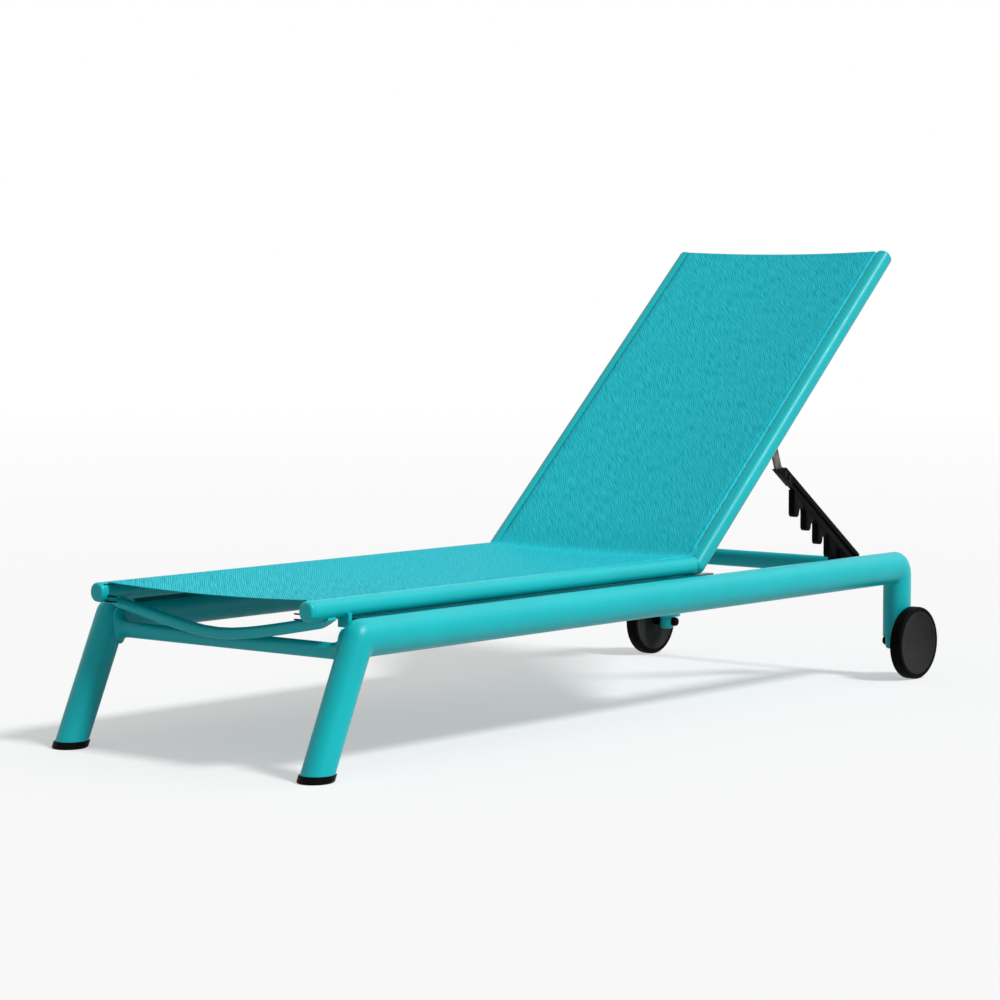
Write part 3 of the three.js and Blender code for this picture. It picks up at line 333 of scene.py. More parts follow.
@dataclass(frozen=True)
class Finish:
    """A finish of two tones, with uneven gloss and a fine grain.

    Attributes:
        name: the material's name.
        tones: the first and the second colour.
        clouds: the pattern that mixes the tones.
        change: between which values of the clouds the tones change over.
        gloss: the pattern of the roughness.
        roughness: the roughness at the pattern's low and high values.
        grain: the pattern of the bump.
        strength: how strong the bump is, from 0 to 1.
        relief: how high the grain stands, in metres.
        specular: how strongly a surface that isn't metal reflects.
        metallic: how far it is metal.
        stretch: how much denser gloss and grain are along each axis.
    """

    name: str
    tones: Tones
    clouds: Speckle
    change: Span
    gloss: Speckle
    roughness: Span
    grain: Speckle
    strength: float
    relief: float
    specular: float = 0.5
    metallic: float = 0.0
    stretch: Point = (1.0, 1.0, 1.0)

    GLOSS_CHANGE = (0.3, 0.7)

    def build(self) -> bpy.types.Material:
        """Builds the finish.

        Returns:
            The material.
        """
        nodes = NodeTree.material(self.name)
        place = nodes.place()
        drawn = nodes.add("Mapping", Vector=place, Scale=self.stretch).outputs["Vector"]
        gloss = self.gloss.value(nodes, drawn)
        return nodes.surface(
            Base_Color=nodes.ramp(self.clouds.value(nodes, place), list(zip(self.change, self.tones))),
            Roughness=nodes.spread(gloss, *self.GLOSS_CHANGE, *self.roughness),
            Specular_IOR_Level=self.specular,
            Metallic=self.metallic,
            Normal=nodes.bump(self.grain.value(nodes, drawn), self.strength, self.relief),
        )


@dataclass(frozen=True)
class PowderCoat(Finish):
    """Satin turquoise powder coat with a fine orange-peel skin."""

    name: str = "turquoise_powder_coat"
    tones: Tones = ("00B1B8", "00B8BF")
    clouds: Speckle = Speckle(6.0, 3.0)
    change: Span = (0.3, 0.7)
    gloss: Speckle = Speckle(40.0, 4.0)
    roughness: Span = (0.35, 0.44)
    grain: Speckle = Speckle(900.0, 2.0)
    strength: float = 0.12
    relief: float = 0.0002
    specular: float = 0.28


@dataclass(frozen=True)
class MouldedNylon(Finish):
    """Moulded nylon with a fine spark-eroded texture."""

    name: str = "black_moulded_nylon"
    tones: Tones = ("060607", "0B0B0C")
    clouds: Speckle = Speckle(24.0, 4.0)
    change: Span = (0.35, 0.75)
    gloss: Speckle = Speckle(70.0, 3.0)
    roughness: Span = (0.36, 0.50)
    grain: Speckle = Speckle(1600.0, 1.0)
    strength: float = 0.2
    relief: float = 0.00015
    specular: float = 0.04


@dataclass(frozen=True)
class TreadRubber(Finish):
    """Black rubber, matt, with a little dust."""

    name: str = "tyre_rubber"
    tones: Tones = ("040404", "080808")
    clouds: Speckle = Speckle(55.0, 5.0, 0.6)
    change: Span = (0.4, 0.8)
    gloss: Speckle = Speckle(55.0, 5.0, 0.6)
    roughness: Span = (0.45, 0.62)
    grain: Speckle = Speckle(1100.0, 2.0)
    strength: float = 0.3
    relief: float = 0.0002
    specular: float = 0.03


@dataclass(frozen=True)
class BrushedSteel(Finish):
    """Zinc-plated steel with a faint directional grain."""

    name: str = "plated_steel"
    tones: Tones = ("6F6A64", "8C867F")
    clouds: Speckle = Speckle(60.0, 4.0, 0.6)
    change: Span = (0.35, 0.7)
    gloss: Speckle = Speckle(160.0, 3.0)
    roughness: Span = (0.28, 0.46)
    grain: Speckle = Speckle(160.0, 3.0)
    strength: float = 0.15
    relief: float = 0.0001
    metallic: float = 0.9
    stretch: Point = (1.0, 12.0, 12.0)


@dataclass(frozen=True)
class TongueSteel:
    """Dull plated steel where the tongue is bare, black where its rivets go through the rack.

    Attributes:
        name: the material's name.
        bare: the tones of the bare steel.
        bare_change: between which values of the tarnish they change over.
        coated: the tones of the black.
        coated_change: between which values of the tarnish they change over.
        bare_above: the height where the bare steel starts.
        tarnish: the pattern of tones, roughness and bump.
        tarnish_change: between which values of the tarnish the roughness changes over.
        roughness: the roughness at those values.
        metallic: how far the bare steel is metal.
        specular: how strongly the black reflects.
        strength: how strong the bump is, from 0 to 1.
        relief: how high the tarnish stands, in metres.
    """

    name: str = "tongue_steel"
    bare: Tones = ("55504B", "8A827A")
    bare_change: Span = (0.35, 0.7)
    coated: Tones = ("0A0A0B", "101011")
    coated_change: Span = (0.4, 0.8)
    bare_above: float = 0.4567
    tarnish: Speckle = Speckle(90.0, 4.0, 0.6)
    tarnish_change: Span = (0.3, 0.7)
    roughness: Span = (0.34, 0.50)
    metallic: float = 0.85
    specular: float = 0.1
    strength: float = 0.15
    relief: float = 0.0001

    def build(self) -> bpy.types.Material:
        """Builds the steel.

        Returns:
            The material.
        """
        nodes = NodeTree.material(self.name)
        place = nodes.place()
        height = nodes.add("SeparateXYZ", Vector=place).outputs["Z"]
        bare = nodes.maths("GREATER_THAN", height, self.bare_above)
        tarnish = self.tarnish.value(nodes, place)
        steel = nodes.ramp(tarnish, list(zip(self.bare_change, self.bare)))
        coated = nodes.ramp(tarnish, list(zip(self.coated_change, self.coated)))
        return nodes.surface(
            Base_Color=nodes.mix_colours(bare, coated, steel),
            Roughness=nodes.spread(tarnish, *self.tarnish_change, *self.roughness),
            Metallic=nodes.maths("MULTIPLY", bare, self.metallic),
            Specular_IOR_Level=self.specular,
            Normal=nodes.bump(tarnish, self.strength, self.relief),
        )


@dataclass(frozen=True)
class Ridges:
    """One field of slanting, slightly wavy ridges in the cloth.

    Attributes:
        pitch: half the distance from one ridge to the next, across the sheet, in metres.
        length: half the length of a ridge.
        slant: how far a ridge moves to the left over a metre of the sheet.
        easing: how much the slant changes over a metre.
        wander: how far a ridge strays from its line.
        wander_length: over what length it does so.
        order: 0 for ridges strewn at random, 1 for even rows.
        strength: how high the ridges are at the foot end and from the middle of the seat on.
    """

    pitch: float
    length: float
    slant: float
    easing: float
    wander: float
    wander_length: float
    order: float
    strength: Span

    MIDDLE = 0.5
    ROW_HEIGHT = 0.2
    ROW_SWAY = 5.0
    STREWN = Speckle(1.0, 1.0, 0.4)
    STRENGTH_CHANGE = (0.10, 0.55)

    def height(self, nodes: NodeTree, sheet: object) -> bpy.types.NodeSocket:
        """Builds the ridges' height.

        Args:
            nodes: the material being built.
            sheet: the cloth's coordinates, in metres.

        Returns:
            The height, mostly from 0.25 to 0.75.
        """
        parts = nodes.add("SeparateXYZ", Vector=sheet)
        across, along = parts.outputs["X"], parts.outputs["Y"]
        lean = nodes.maths("MULTIPLY_ADD", along, self.easing, self.slant)
        straight = nodes.maths("MULTIPLY_ADD", lean, along, across)
        drift = nodes.noise(sheet, 1.0 / self.wander_length, 1.0)
        wavy = nodes.maths("MULTIPLY_ADD", drift, self.wander, straight)
        place = nodes.add(
            "CombineXYZ",
            X=nodes.maths("DIVIDE", wavy, self.pitch),
            Y=nodes.maths("DIVIDE", along, self.length),
        ).outputs["Vector"]
        strewn = self.STREWN.value(nodes, place)
        row = nodes.maths("MULTIPLY", wavy, math.pi / self.pitch)
        turn = nodes.maths("MULTIPLY_ADD", strewn, self.ROW_SWAY, row)
        rows = nodes.maths("MULTIPLY_ADD", nodes.maths("SINE", turn), self.ROW_HEIGHT, self.MIDDLE)
        mixed = nodes.add("Mix", Factor=self.order, A=strewn, B=rows).outputs["Result"]
        strength = nodes.spread(along, *self.STRENGTH_CHANGE, *self.strength)
        swing = nodes.maths("SUBTRACT", mixed, self.MIDDLE)
        return nodes.maths("MULTIPLY_ADD", swing, strength, self.MIDDLE)


@dataclass(frozen=True)
class WovenSling:
    """Coated yarn cloth: a fine weave under wavy slanting ridges, with a hem line at each side; the colour
    darkens with painted shade in the grooves and along the hem line, and lightens with painted light on
    the ridge tops.

    The pattern follows the sheet's own UV map, in metres across and along it.

    Attributes:
        name: the material's name.
        tones: the colours from the bottom of a groove to the top of a ridge, each with its height: painted
            shade in the grooves and painted light on the ridge tops.
        seat: the ridges on the seat.
        back: the ridges on the back.
        change: how far on either side of the hinge the ridges change over.
        back_painted_light: how much higher, so lighter, the pattern stands on the back; painted light that
            brightens the back's colour.
        yarn_pitch: the size of a yarn.
        yarn_height: how high a yarn stands beside a ridge.
        hem: how far the hem line lies from the cloth's edge.
        hem_width: half the line's width.
        hem_depth_and_shade: how deep the line is beside a ridge; it also darkens the line's colour, as
            painted shade in the hem's crease.
        gloss_change: between which heights the roughness changes over.
        roughness: the roughness at those heights.
        specular: how strongly the coating reflects.
        strength: how strong the bump is, from 0 to 1.
        relief: how high a full step stands, in metres.
    """

    name: str = "woven_sling"
    # Painted shade at the bottom of the grooves, painted light on the ridge tops.
    tones: tuple[tuple[float, str], ...] = ((0.46, "07939F"), (0.62, "18B6C4"), (0.78, "36CEDC"))
    seat: Ridges = Ridges(0.0027, 0.075, 1.06, -0.135, 0.008, 0.60, 0.62, (1.05, 0.40))
    back: Ridges = Ridges(0.0031, 0.024, 0.82, 0.0, 0.018, 0.07, 0.42, (0.80, 0.80))
    change: float = 0.10
    # Painted light on the back: it lifts the colour of the back's cloth above the seat's.
    back_painted_light: float = 0.070
    yarn_pitch: float = 0.0012
    yarn_height: float = 0.25
    hem: float = 0.0095
    hem_width: float = 0.0020
    hem_depth_and_shade: float = 0.20
    gloss_change: Span = (0.4, 0.9)
    roughness: Span = (0.75, 0.6)
    specular: float = 0.10
    strength: float = 0.6
    relief: float = 0.0012

    def build(self) -> bpy.types.Material:
        """Builds the cloth's material.

        Returns:
            The material.
        """
        nodes = NodeTree.material(self.name)
        sheet = nodes.add("UVMap", {"uv_map": SlingSheet.UV_NAME}).outputs["UV"]
        parts = nodes.add("SeparateXYZ", Vector=sheet)
        across, along = parts.outputs["X"], parts.outputs["Y"]
        hinge = SlingSheet.hinge_along
        on_back = nodes.spread(along, hinge - self.change, hinge + self.change, 0.0, 1.0)
        ridges = nodes.add(
            "Mix",
            Factor=on_back,
            A=self.seat.height(nodes, sheet),
            B=self.back.height(nodes, sheet),
        ).outputs["Result"]
        yarns = nodes.noise(sheet, 1.0 / self.yarn_pitch, 1.0)
        height = nodes.maths("MULTIPLY_ADD", yarns, self.yarn_height, ridges)
        # The hem line: a groove in the bump, and painted shade that darkens the cloth's colour along it.
        from_line = nodes.maths("SUBTRACT", nodes.maths("ABSOLUTE", across), SlingSheet.edge - self.hem)
        groove = nodes.spread(nodes.maths("ABSOLUTE", from_line), 0.0, self.hem_width, self.hem_depth_and_shade, 0.0)
        # Painted light: the back's pattern is raised, so its colour is lighter than the seat's.
        raised = nodes.maths("MULTIPLY_ADD", on_back, self.back_painted_light, height)
        relief_with_painted_light = nodes.maths("SUBTRACT", raised, groove)
        return nodes.surface(
            # Painted light and shade: the colour is darker where the relief is low and lighter where it is
            # high.
            Base_Color=nodes.ramp(relief_with_painted_light, self.tones),
            Roughness=nodes.spread(height, *self.gloss_change, *self.roughness),
            Specular_IOR_Level=self.specular,
            Normal=nodes.bump(relief_with_painted_light, self.strength, self.relief),
        )


class Finishes:
    """One material for each finish, keyed by the record's material slots."""

    def __init__(self) -> None:
        """Builds every material."""
        satin, silky = (0.54, 0.68), (0.44, 0.58)
        hub = MouldedNylon("wheel_hub_nylon", ("292929", "2E2E2E"), roughness=satin)
        # Painted shade: the packers between seat rail and main rail are a deeper turquoise than the paint,
        # standing in for the shade in that gap.
        packer = MouldedNylon("dark_turquoise_nylon", ("005F65", "00666C"), roughness=silky, specular=0.05)
        rod = MouldedNylon("turquoise_nylon", ("00A4AC", "00ABB3"), roughness=silky, specular=0.1)
        rod_nylon = rod.build()
        self.own: dict[str, bpy.types.Material] = {
            "wheel_hub": hub.build(),
            "seat_packer": packer.build(),
            "seat_sling_rod": rod_nylon,
            "back_sling_rod": rod_nylon,
            "rack_tongue": TongueSteel().build(),
        }
        self.by_slot: dict[str, bpy.types.Material] = {
            "frame_paint": PowderCoat().build(),
            "sling_fabric": WovenSling().build(),
            "black_nylon": MouldedNylon().build(),
            "tyre_rubber": TreadRubber().build(),
            "steel": BrushedSteel().build(),
        }

    def dress(self, piece: bpy.types.Object, slot: str) -> None:
        """Gives a piece the material of a slot, or the one that its name calls for.

        Args:
            piece: a mesh object.
            slot: the record's material slot.
        """
        own = [material for start, material in self.own.items() if piece.name.startswith(start)]
        piece.data.materials.clear()
        piece.data.materials.append(own[0] if own else self.by_slot[slot])
        for polygon in piece.data.polygons:
            polygon.material_index = 0


# ---------------------------------------------------------------- shading of the carried-over nodes
class SmoothShading:
    """A modifier that joins a node's loose triangles and shades them smoothly up to an angle."""

    def __init__(self, merge: float = MERGE_WITHIN, sharp: float = SMOOTH_TUBE_UP_TO) -> None:
        """Builds the modifier's node group.

        Args:
            merge: corners nearer than this, in metres, become one.
            sharp: edges that bend more than this stay crisp.
        """
        group = bpy.data.node_groups.new("smooth_shading", "GeometryNodeTree")
        group.interface.new_socket("Mesh", in_out="INPUT", socket_type="NodeSocketGeometry")
        group.interface.new_socket("Mesh", in_out="OUTPUT", socket_type="NodeSocketGeometry")
        source = group.nodes.new("NodeGroupInput")
        target = group.nodes.new("NodeGroupOutput")
        joined = group.nodes.new("GeometryNodeMergeByDistance")
        joined.inputs["Distance"].default_value = merge
        faces = group.nodes.new("GeometryNodeSetShadeSmooth")
        faces.domain = "FACE"
        edges = group.nodes.new("GeometryNodeSetShadeSmooth")
        edges.domain = "EDGE"
        edges.inputs["Shade Smooth"].default_value = False
        angle = group.nodes.new("GeometryNodeInputMeshEdgeAngle")
        crisp = group.nodes.new("FunctionNodeCompare")
        crisp.inputs["B"].default_value = sharp
        link = group.links.new
        link(source.outputs[0], joined.inputs["Geometry"])
        link(joined.outputs[0], faces.inputs["Geometry"])
        link(faces.outputs[0], edges.inputs["Geometry"])
        link(angle.outputs["Unsigned Angle"], crisp.inputs["A"])
        link(crisp.outputs["Result"], edges.inputs["Selection"])
        link(edges.outputs[0], target.inputs[0])
        self.group = group

    def add_to(self, node: bpy.types.Object) -> None:
        """Adds the modifier.

        Args:
            node: the CAD node; its own mesh stays as it is.
        """
        node.modifiers.new("smooth_shading", "NODES").node_group = self.group


# ---------------------------------------------------------------- slings
@dataclass
class SlingSheet:
    """The cloth: one sheet over seat and back, held at its edges in the rails' channels.

    Attributes:
        finishes: the materials.
        joint: where the back turns.
        back_angle: how far the back is raised.
        edge: half the sheet's width.
        seat_sag: how far the middle of the seat hangs below its edges.
        back_sag: how far the middle of the back does.
        lift: how far the sheet lies above the rails' axes.
        hinge_along: how far along the sheet the hinge is.
        thickness: the cloth's thickness.
        crease_radius: the bend's radius.
        rows: how many faces the sheet has along it.
        columns: how many it has across.
        tuck_from: how far out the sheet stays flat.
        tuck: place across and drop of each column of the tucked edge.
        loose_edge: half the sheet's width at the hinge, where its edges aren't tucked.
        loose_at_hinge: how far from the crease the edges stay loose.
        tuck_run: over what length they turn down.
    """

    finishes: Finishes
    joint: Vector
    back_angle: float
    edge: float = 0.2505
    seat_sag: float = 0.006
    back_sag: float = 0.008
    lift: float = 0.0182
    hinge_along: float = 1.10
    thickness: float = 0.0013
    crease_radius: float = 0.030
    rows: int = 260
    columns: int = 36
    tuck_from: float = 0.2425
    tuck: tuple[tuple[float, float], ...] = (
        (0.2442, 0.0007), (0.2459, 0.0031), (0.2480, 0.0039), (0.2512, 0.0040),
    )
    loose_edge: float = 0.2570
    loose_at_hinge: float = 0.012
    tuck_run: float = 0.010

    UV_NAME = "sheet"

    def path(self, seat_length: float,
             back_length: float) -> tuple[list[Vector], list[float], list[float]]:
        """The middle line of the sheet, from the foot end to the head end.

        Args:
            seat_length: from the front edge to the hinge.
            back_length: from the hinge to the top edge.

        Returns:
            Points in the YZ plane, the angle of the sheet at each, and how far along it each is.
        """
        angle = self.back_angle
        slope = math.tan(angle / 2)
        inset = self.crease_radius * slope
        corner = Vector((0.0, self.joint.y - self.lift * slope, self.joint.z + self.lift))
        straight_seat = seat_length - (self.joint.y - corner.y) - inset
        straight_back = back_length - self.lift * slope - inset
        arc = self.crease_radius * angle
        total = straight_seat + arc + straight_back
        points, angles, lengths = [], [], []
        for row in range(self.rows + 1):
            along = total * row / self.rows
            if along <= straight_seat:
                point = corner + Vector((0.0, -inset - (straight_seat - along), 0.0))
                turn = 0.0
            elif along <= straight_seat + arc:
                turn = (along - straight_seat) / self.crease_radius
                centre = corner + Vector((0.0, -inset, self.crease_radius))
                point = centre + Vector((0.0, math.sin(turn), -math.cos(turn))) * self.crease_radius
            else:
                turn = angle
                run = inset + (along - straight_seat - arc)
                point = corner + Vector((0.0, math.cos(angle), math.sin(angle))) * run
            points.append(point)
            angles.append(turn)
            lengths.append(along)
        return points, angles, lengths

    def across(self, column: int, tucked: float) -> tuple[float, float]:
        """Where a column of the sheet lies.

        Args:
            column: counted from the left edge.
            tucked: 1 where the edge turns down into the rail's channel, 0 where it lies on the rail.

        Returns:
            The place across the sheet and how far it drops below the sheet's plane.
        """
        half = self.columns // 2
        steps = abs(column - half)
        side = math.copysign(1.0, column - half)
        plain = half - len(self.tuck)
        if steps <= plain:
            return side * self.tuck_from * steps / plain, 0.0
        inner = steps - plain
        flat = self.tuck_from + (self.loose_edge - self.tuck_from) * inner / len(self.tuck)
        place, drop = self.tuck[inner - 1]
        return side * (flat + (place - flat) * tucked), drop * tucked

    def build(self) -> bpy.types.Object:
        """Builds the sheet.

        Returns:
            The cloth.
        """
        seat_low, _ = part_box("seat_sling")
        _, back_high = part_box("back_sling")
        direction = Vector((0.0, math.cos(self.back_angle), math.sin(self.back_angle)))
        seat_length = self.joint.y - seat_low[1]
        top = (back_high[1] - self.joint.y + self.lift * math.sin(self.back_angle)) / direction.y
        points, angles, lengths = self.path(seat_length, top)
        deselect()
        bpy.ops.mesh.primitive_grid_add(x_subdivisions=self.columns, y_subdivisions=self.rows, size=2.0)
        cloth = bpy.context.active_object
        cloth.name = "sling_cloth"
        uv = cloth.data.uv_layers[0]
        uv.name = self.UV_NAME
        length = lengths[-1]
        crease = next(run for run, turn in zip(lengths, angles) if turn >= self.back_angle / 2)
        for vertex in cloth.data.vertices:
            row = round((vertex.co.y + 1) / 2 * self.rows)
            column = round((vertex.co.x + 1) / 2 * self.columns)
            from_crease = abs(lengths[row] - crease) - self.loose_at_hinge
            place, drop = self.across(column, min(max(from_crease / self.tuck_run, 0.0), 1.0))
            turn = angles[row]
            blend = turn / self.back_angle
            sag = (self.seat_sag * (1 - blend) + self.back_sag * blend) * (1 - (place / self.edge) ** 2)
            normal = Vector((0.0, -math.sin(turn), math.cos(turn)))
            vertex.co = Vector((place, 0.0, 0.0)) + points[row] - normal * (max(sag, 0.0) + drop)
        for loop in cloth.data.loops:
            place = uv.data[loop.index].uv
            column = round(place.x * self.columns)
            uv.data[loop.index].uv = (self.across(column, 0.0)[0], place.y * length)
        solid = cloth.modifiers.new("thickness", "SOLIDIFY")
        solid.thickness = self.thickness
        solid.offset = 0.0
        bpy.ops.object.modifier_apply(modifier=solid.name)
        bpy.ops.object.shade_smooth_by_angle(angle=SMOOTH_UP_TO)
        self.finishes.dress(cloth, "sling_fabric")
        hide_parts("seat_sling", "back_sling")
        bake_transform(cloth)
        return cloth


# ---------------------------------------------------------------- pieces finished from the CAD
def merged_copy(node: bpy.types.Object, name: str) -> bpy.types.Object:
    """A copy of a CAD node with its loose triangles joined, left in edit mode with everything selected.

    Args:
        node: the CAD node; it stays as it is.
        name: the new piece's name.

    Returns:
        The copy.
    """
    deselect()
    piece = bpy.data.objects.new(name, node.data.copy())
    bpy.context.scene.collection.objects.link(piece)
    piece.data.transform(node.matrix_world)
    piece.select_set(True)
    bpy.context.view_layer.objects.active = piece
    if piece.data.has_custom_normals:
        bpy.ops.mesh.customdata_custom_splitnormals_clear()
    bpy.ops.object.mode_set(mode="EDIT")
    bpy.ops.mesh.select_mode(type="EDGE")
    bpy.ops.mesh.select_all(action="SELECT")
    bpy.ops.mesh.remove_doubles(threshold=MERGE_WITHIN)
    return piece


@dataclass
class RackMouldings:
    """The racks with rounded finger tips, notches and edges.

    Attributes:
        finishes: the materials.
        flat: faces that meet at less than this become one.
        corner: the bends of the outline that are rounded, from the least to the most.
        corner_round: their radius.
        corner_steps: in how many faces.
        across: how nearly an edge of the outline runs across the rack, as a cosine.
        edge_round: the radius of the other sharp edges.
        edge_steps: in how many faces.
    """

    frame: dict
    finishes: Finishes
    flat: float = math.radians(1.0)
    corner: Span = (math.radians(30.0), math.radians(60.0))
    corner_round: float = 0.0022
    corner_steps: int = 3
    across: float = 0.99
    edge_round: float = 0.0006
    edge_steps: int = 2

    def build(self) -> list[bpy.types.Object]:
        """Models both racks.

        Returns:
            The racks.
        """
        return [self.rack(side) for side in Side]

    def rack(self, side: Side) -> bpy.types.Object:
        """Models one rack.

        Args:
            side: which side it is on.

        Returns:
            The rack.
        """
        source = f"rack_{side.suffix}"
        rack = merged_copy(self.frame["nodes"][source], f"rack_moulding_{side.suffix}")
        bpy.ops.mesh.dissolve_limited(angle_limit=self.flat)
        bpy.ops.mesh.select_all(action="DESELECT")
        mesh = bmesh.from_edit_mesh(rack.data)
        low, high = self.corner
        for edge in mesh.edges:
            run = (edge.verts[0].co - edge.verts[1].co).normalized()
            if edge.is_manifold and abs(run.x) > self.across and low < edge.calc_face_angle() < high:
                edge.select = True
        bmesh.update_edit_mesh(rack.data)
        bpy.ops.mesh.bevel(offset=self.corner_round, segments=self.corner_steps, clamp_overlap=True)
        bpy.ops.mesh.select_all(action="DESELECT")
        bpy.ops.mesh.edges_select_sharp(sharpness=high)
        bpy.ops.mesh.bevel(offset=self.edge_round, segments=self.edge_steps, clamp_overlap=True)
        bpy.ops.object.mode_set(mode="OBJECT")
        bpy.ops.object.shade_smooth_by_angle(angle=low)
        self.finishes.dress(rack, "black_nylon")
        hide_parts(source)
        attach(rack, Body.RACKS.value)
        return rack


@dataclass
class TrimmedBow:
    """A bow between two rails, with its ends cut up to them.

    Attributes:
        finishes: the materials.
        source: the CAD node.
        name: the new piece's name.
        body: the body it rides on.
        point: a point on the right-hand cut.
        normal: the direction that is cut away on the right-hand side.
        sharp: edges that bend more than this stay crisp.
    """

    frame: dict
    finishes: Finishes
    source: str
    name: str
    body: Body
    point: Vector
    normal: Vector
    sharp: float = SMOOTH_TUBE_UP_TO

    def build(self) -> bpy.types.Object:
        """Models the bow.

        Returns:
            The bow.
        """
        bow = merged_copy(self.frame["nodes"][self.source], self.name)
        for side in Side:
            mirror = Vector((side.value, 1.0, 1.0))
            bpy.ops.mesh.select_all(action="SELECT")
            bpy.ops.mesh.bisect(
                plane_co=self.point * mirror,
                plane_no=self.normal * mirror,
                use_fill=True,
                clear_outer=True,
            )
        bpy.ops.object.mode_set(mode="OBJECT")
        bpy.ops.object.shade_smooth_by_angle(angle=self.sharp)
        self.finishes.dress(bow, "frame_paint")
        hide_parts(self.source)
        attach(bow, self.body.value)
        return bow


# ---------------------------------------------------------------- screws
@dataclass
class LockScrew:
    """A thin black screw through a rail's end, which keeps the sling's rod from sliding out.

    Attributes:
        finishes: the materials.
        radius: the shank's radius.
        length: the shank's length.
        point: the point's length.
        point_share: the width of the point's end, as a share of the shank's.
        point_flat: how far the flat on the point's end is set in, as a share of the radius.
        sides: how many faces go round it.
        from_end: how far it is from the rail's end.
        drops: how far each screw is below the rail's axis.
        reach: how far its point stands inside the rail's inner face.
    """

    finishes: Finishes
    radius: float = 0.0015
    length: float = 0.034
    point: float = 0.003
    point_share: float = 0.35
    point_flat: float = 0.1
    sides: int = 20
    from_end: float = 0.006
    drops: tuple[float, ...] = (0.0065, 0.0160)
    reach: float = 0.023

    def master(self) -> bpy.types.Object:
        """Models the screw along X, with its point at the origin.

        Returns:
            The screw.
        """
        deselect()
        bpy.ops.mesh.primitive_cylinder_add(vertices=self.sides, radius=self.radius, depth=self.length)
        screw = bpy.context.active_object
        screw.name = "lock_screw"
        bpy.ops.object.mode_set(mode="EDIT")
        bpy.ops.mesh.select_all(action="DESELECT")
        bpy.ops.object.mode_set(mode="OBJECT")
        top = max(screw.data.polygons, key=lambda face: face.center.z)
        top.select = True
        bpy.ops.object.mode_set(mode="EDIT")
        bpy.ops.mesh.select_mode(type="FACE")
        bpy.ops.mesh.extrude_region_move(TRANSFORM_OT_translate={"value": (0.0, 0.0, self.point)})
        bpy.ops.transform.resize(value=(self.point_share, self.point_share, 1.0))
        bpy.ops.mesh.inset(thickness=self.radius * self.point_flat)
        bpy.ops.mesh.select_all(action="SELECT")
        tip = self.length / 2 + self.point
        bpy.ops.transform.translate(value=(0.0, 0.0, -tip))
        bpy.ops.transform.rotate(value=math.pi / 2, orient_axis="Y", center_override=(0.0, 0.0, 0.0))
        bpy.ops.mesh.normals_make_consistent(inside=False)
        bpy.ops.object.mode_set(mode="OBJECT")
        bpy.ops.object.shade_smooth_by_angle(angle=SMOOTH_UP_TO)
        self.finishes.dress(screw, "black_nylon")
        return screw

    def build(self) -> list[bpy.types.Object]:
        """Puts two screws in the front end of each seat rail.

        Returns:
            The screws.
        """
        master = self.master()
        # 1 where the master points to +X, as the left screws do; the other side's are turned round.
        inward = 1.0 if min(vertex.co.x for vertex in master.data.vertices) < -self.length / 2 else -1.0
        screws = []
        for side in Side:
            low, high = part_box(f"seat_rail_{side.suffix}")
            inner = min(abs(low[0]), abs(high[0])) - self.reach
            middle = (low[2] + high[2]) / 2
            for index, drop in enumerate(self.drops, 1):
                screw = bpy.data.objects.new(f"lock_screw_{side.suffix}_{index}", master.data.copy())
                bpy.context.scene.collection.objects.link(screw)
                turn = Matrix.Rotation(0.0 if side.value * inward < 0 else math.pi, 4, "Z")
                place = Vector((side.value * inner, low[1] + self.from_end, middle - drop))
                screw.data.transform(Matrix.Translation(place) @ turn)
                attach(screw, Body.FRAME.value)
                screws.append(screw)
        bpy.data.objects.remove(master)
        return screws


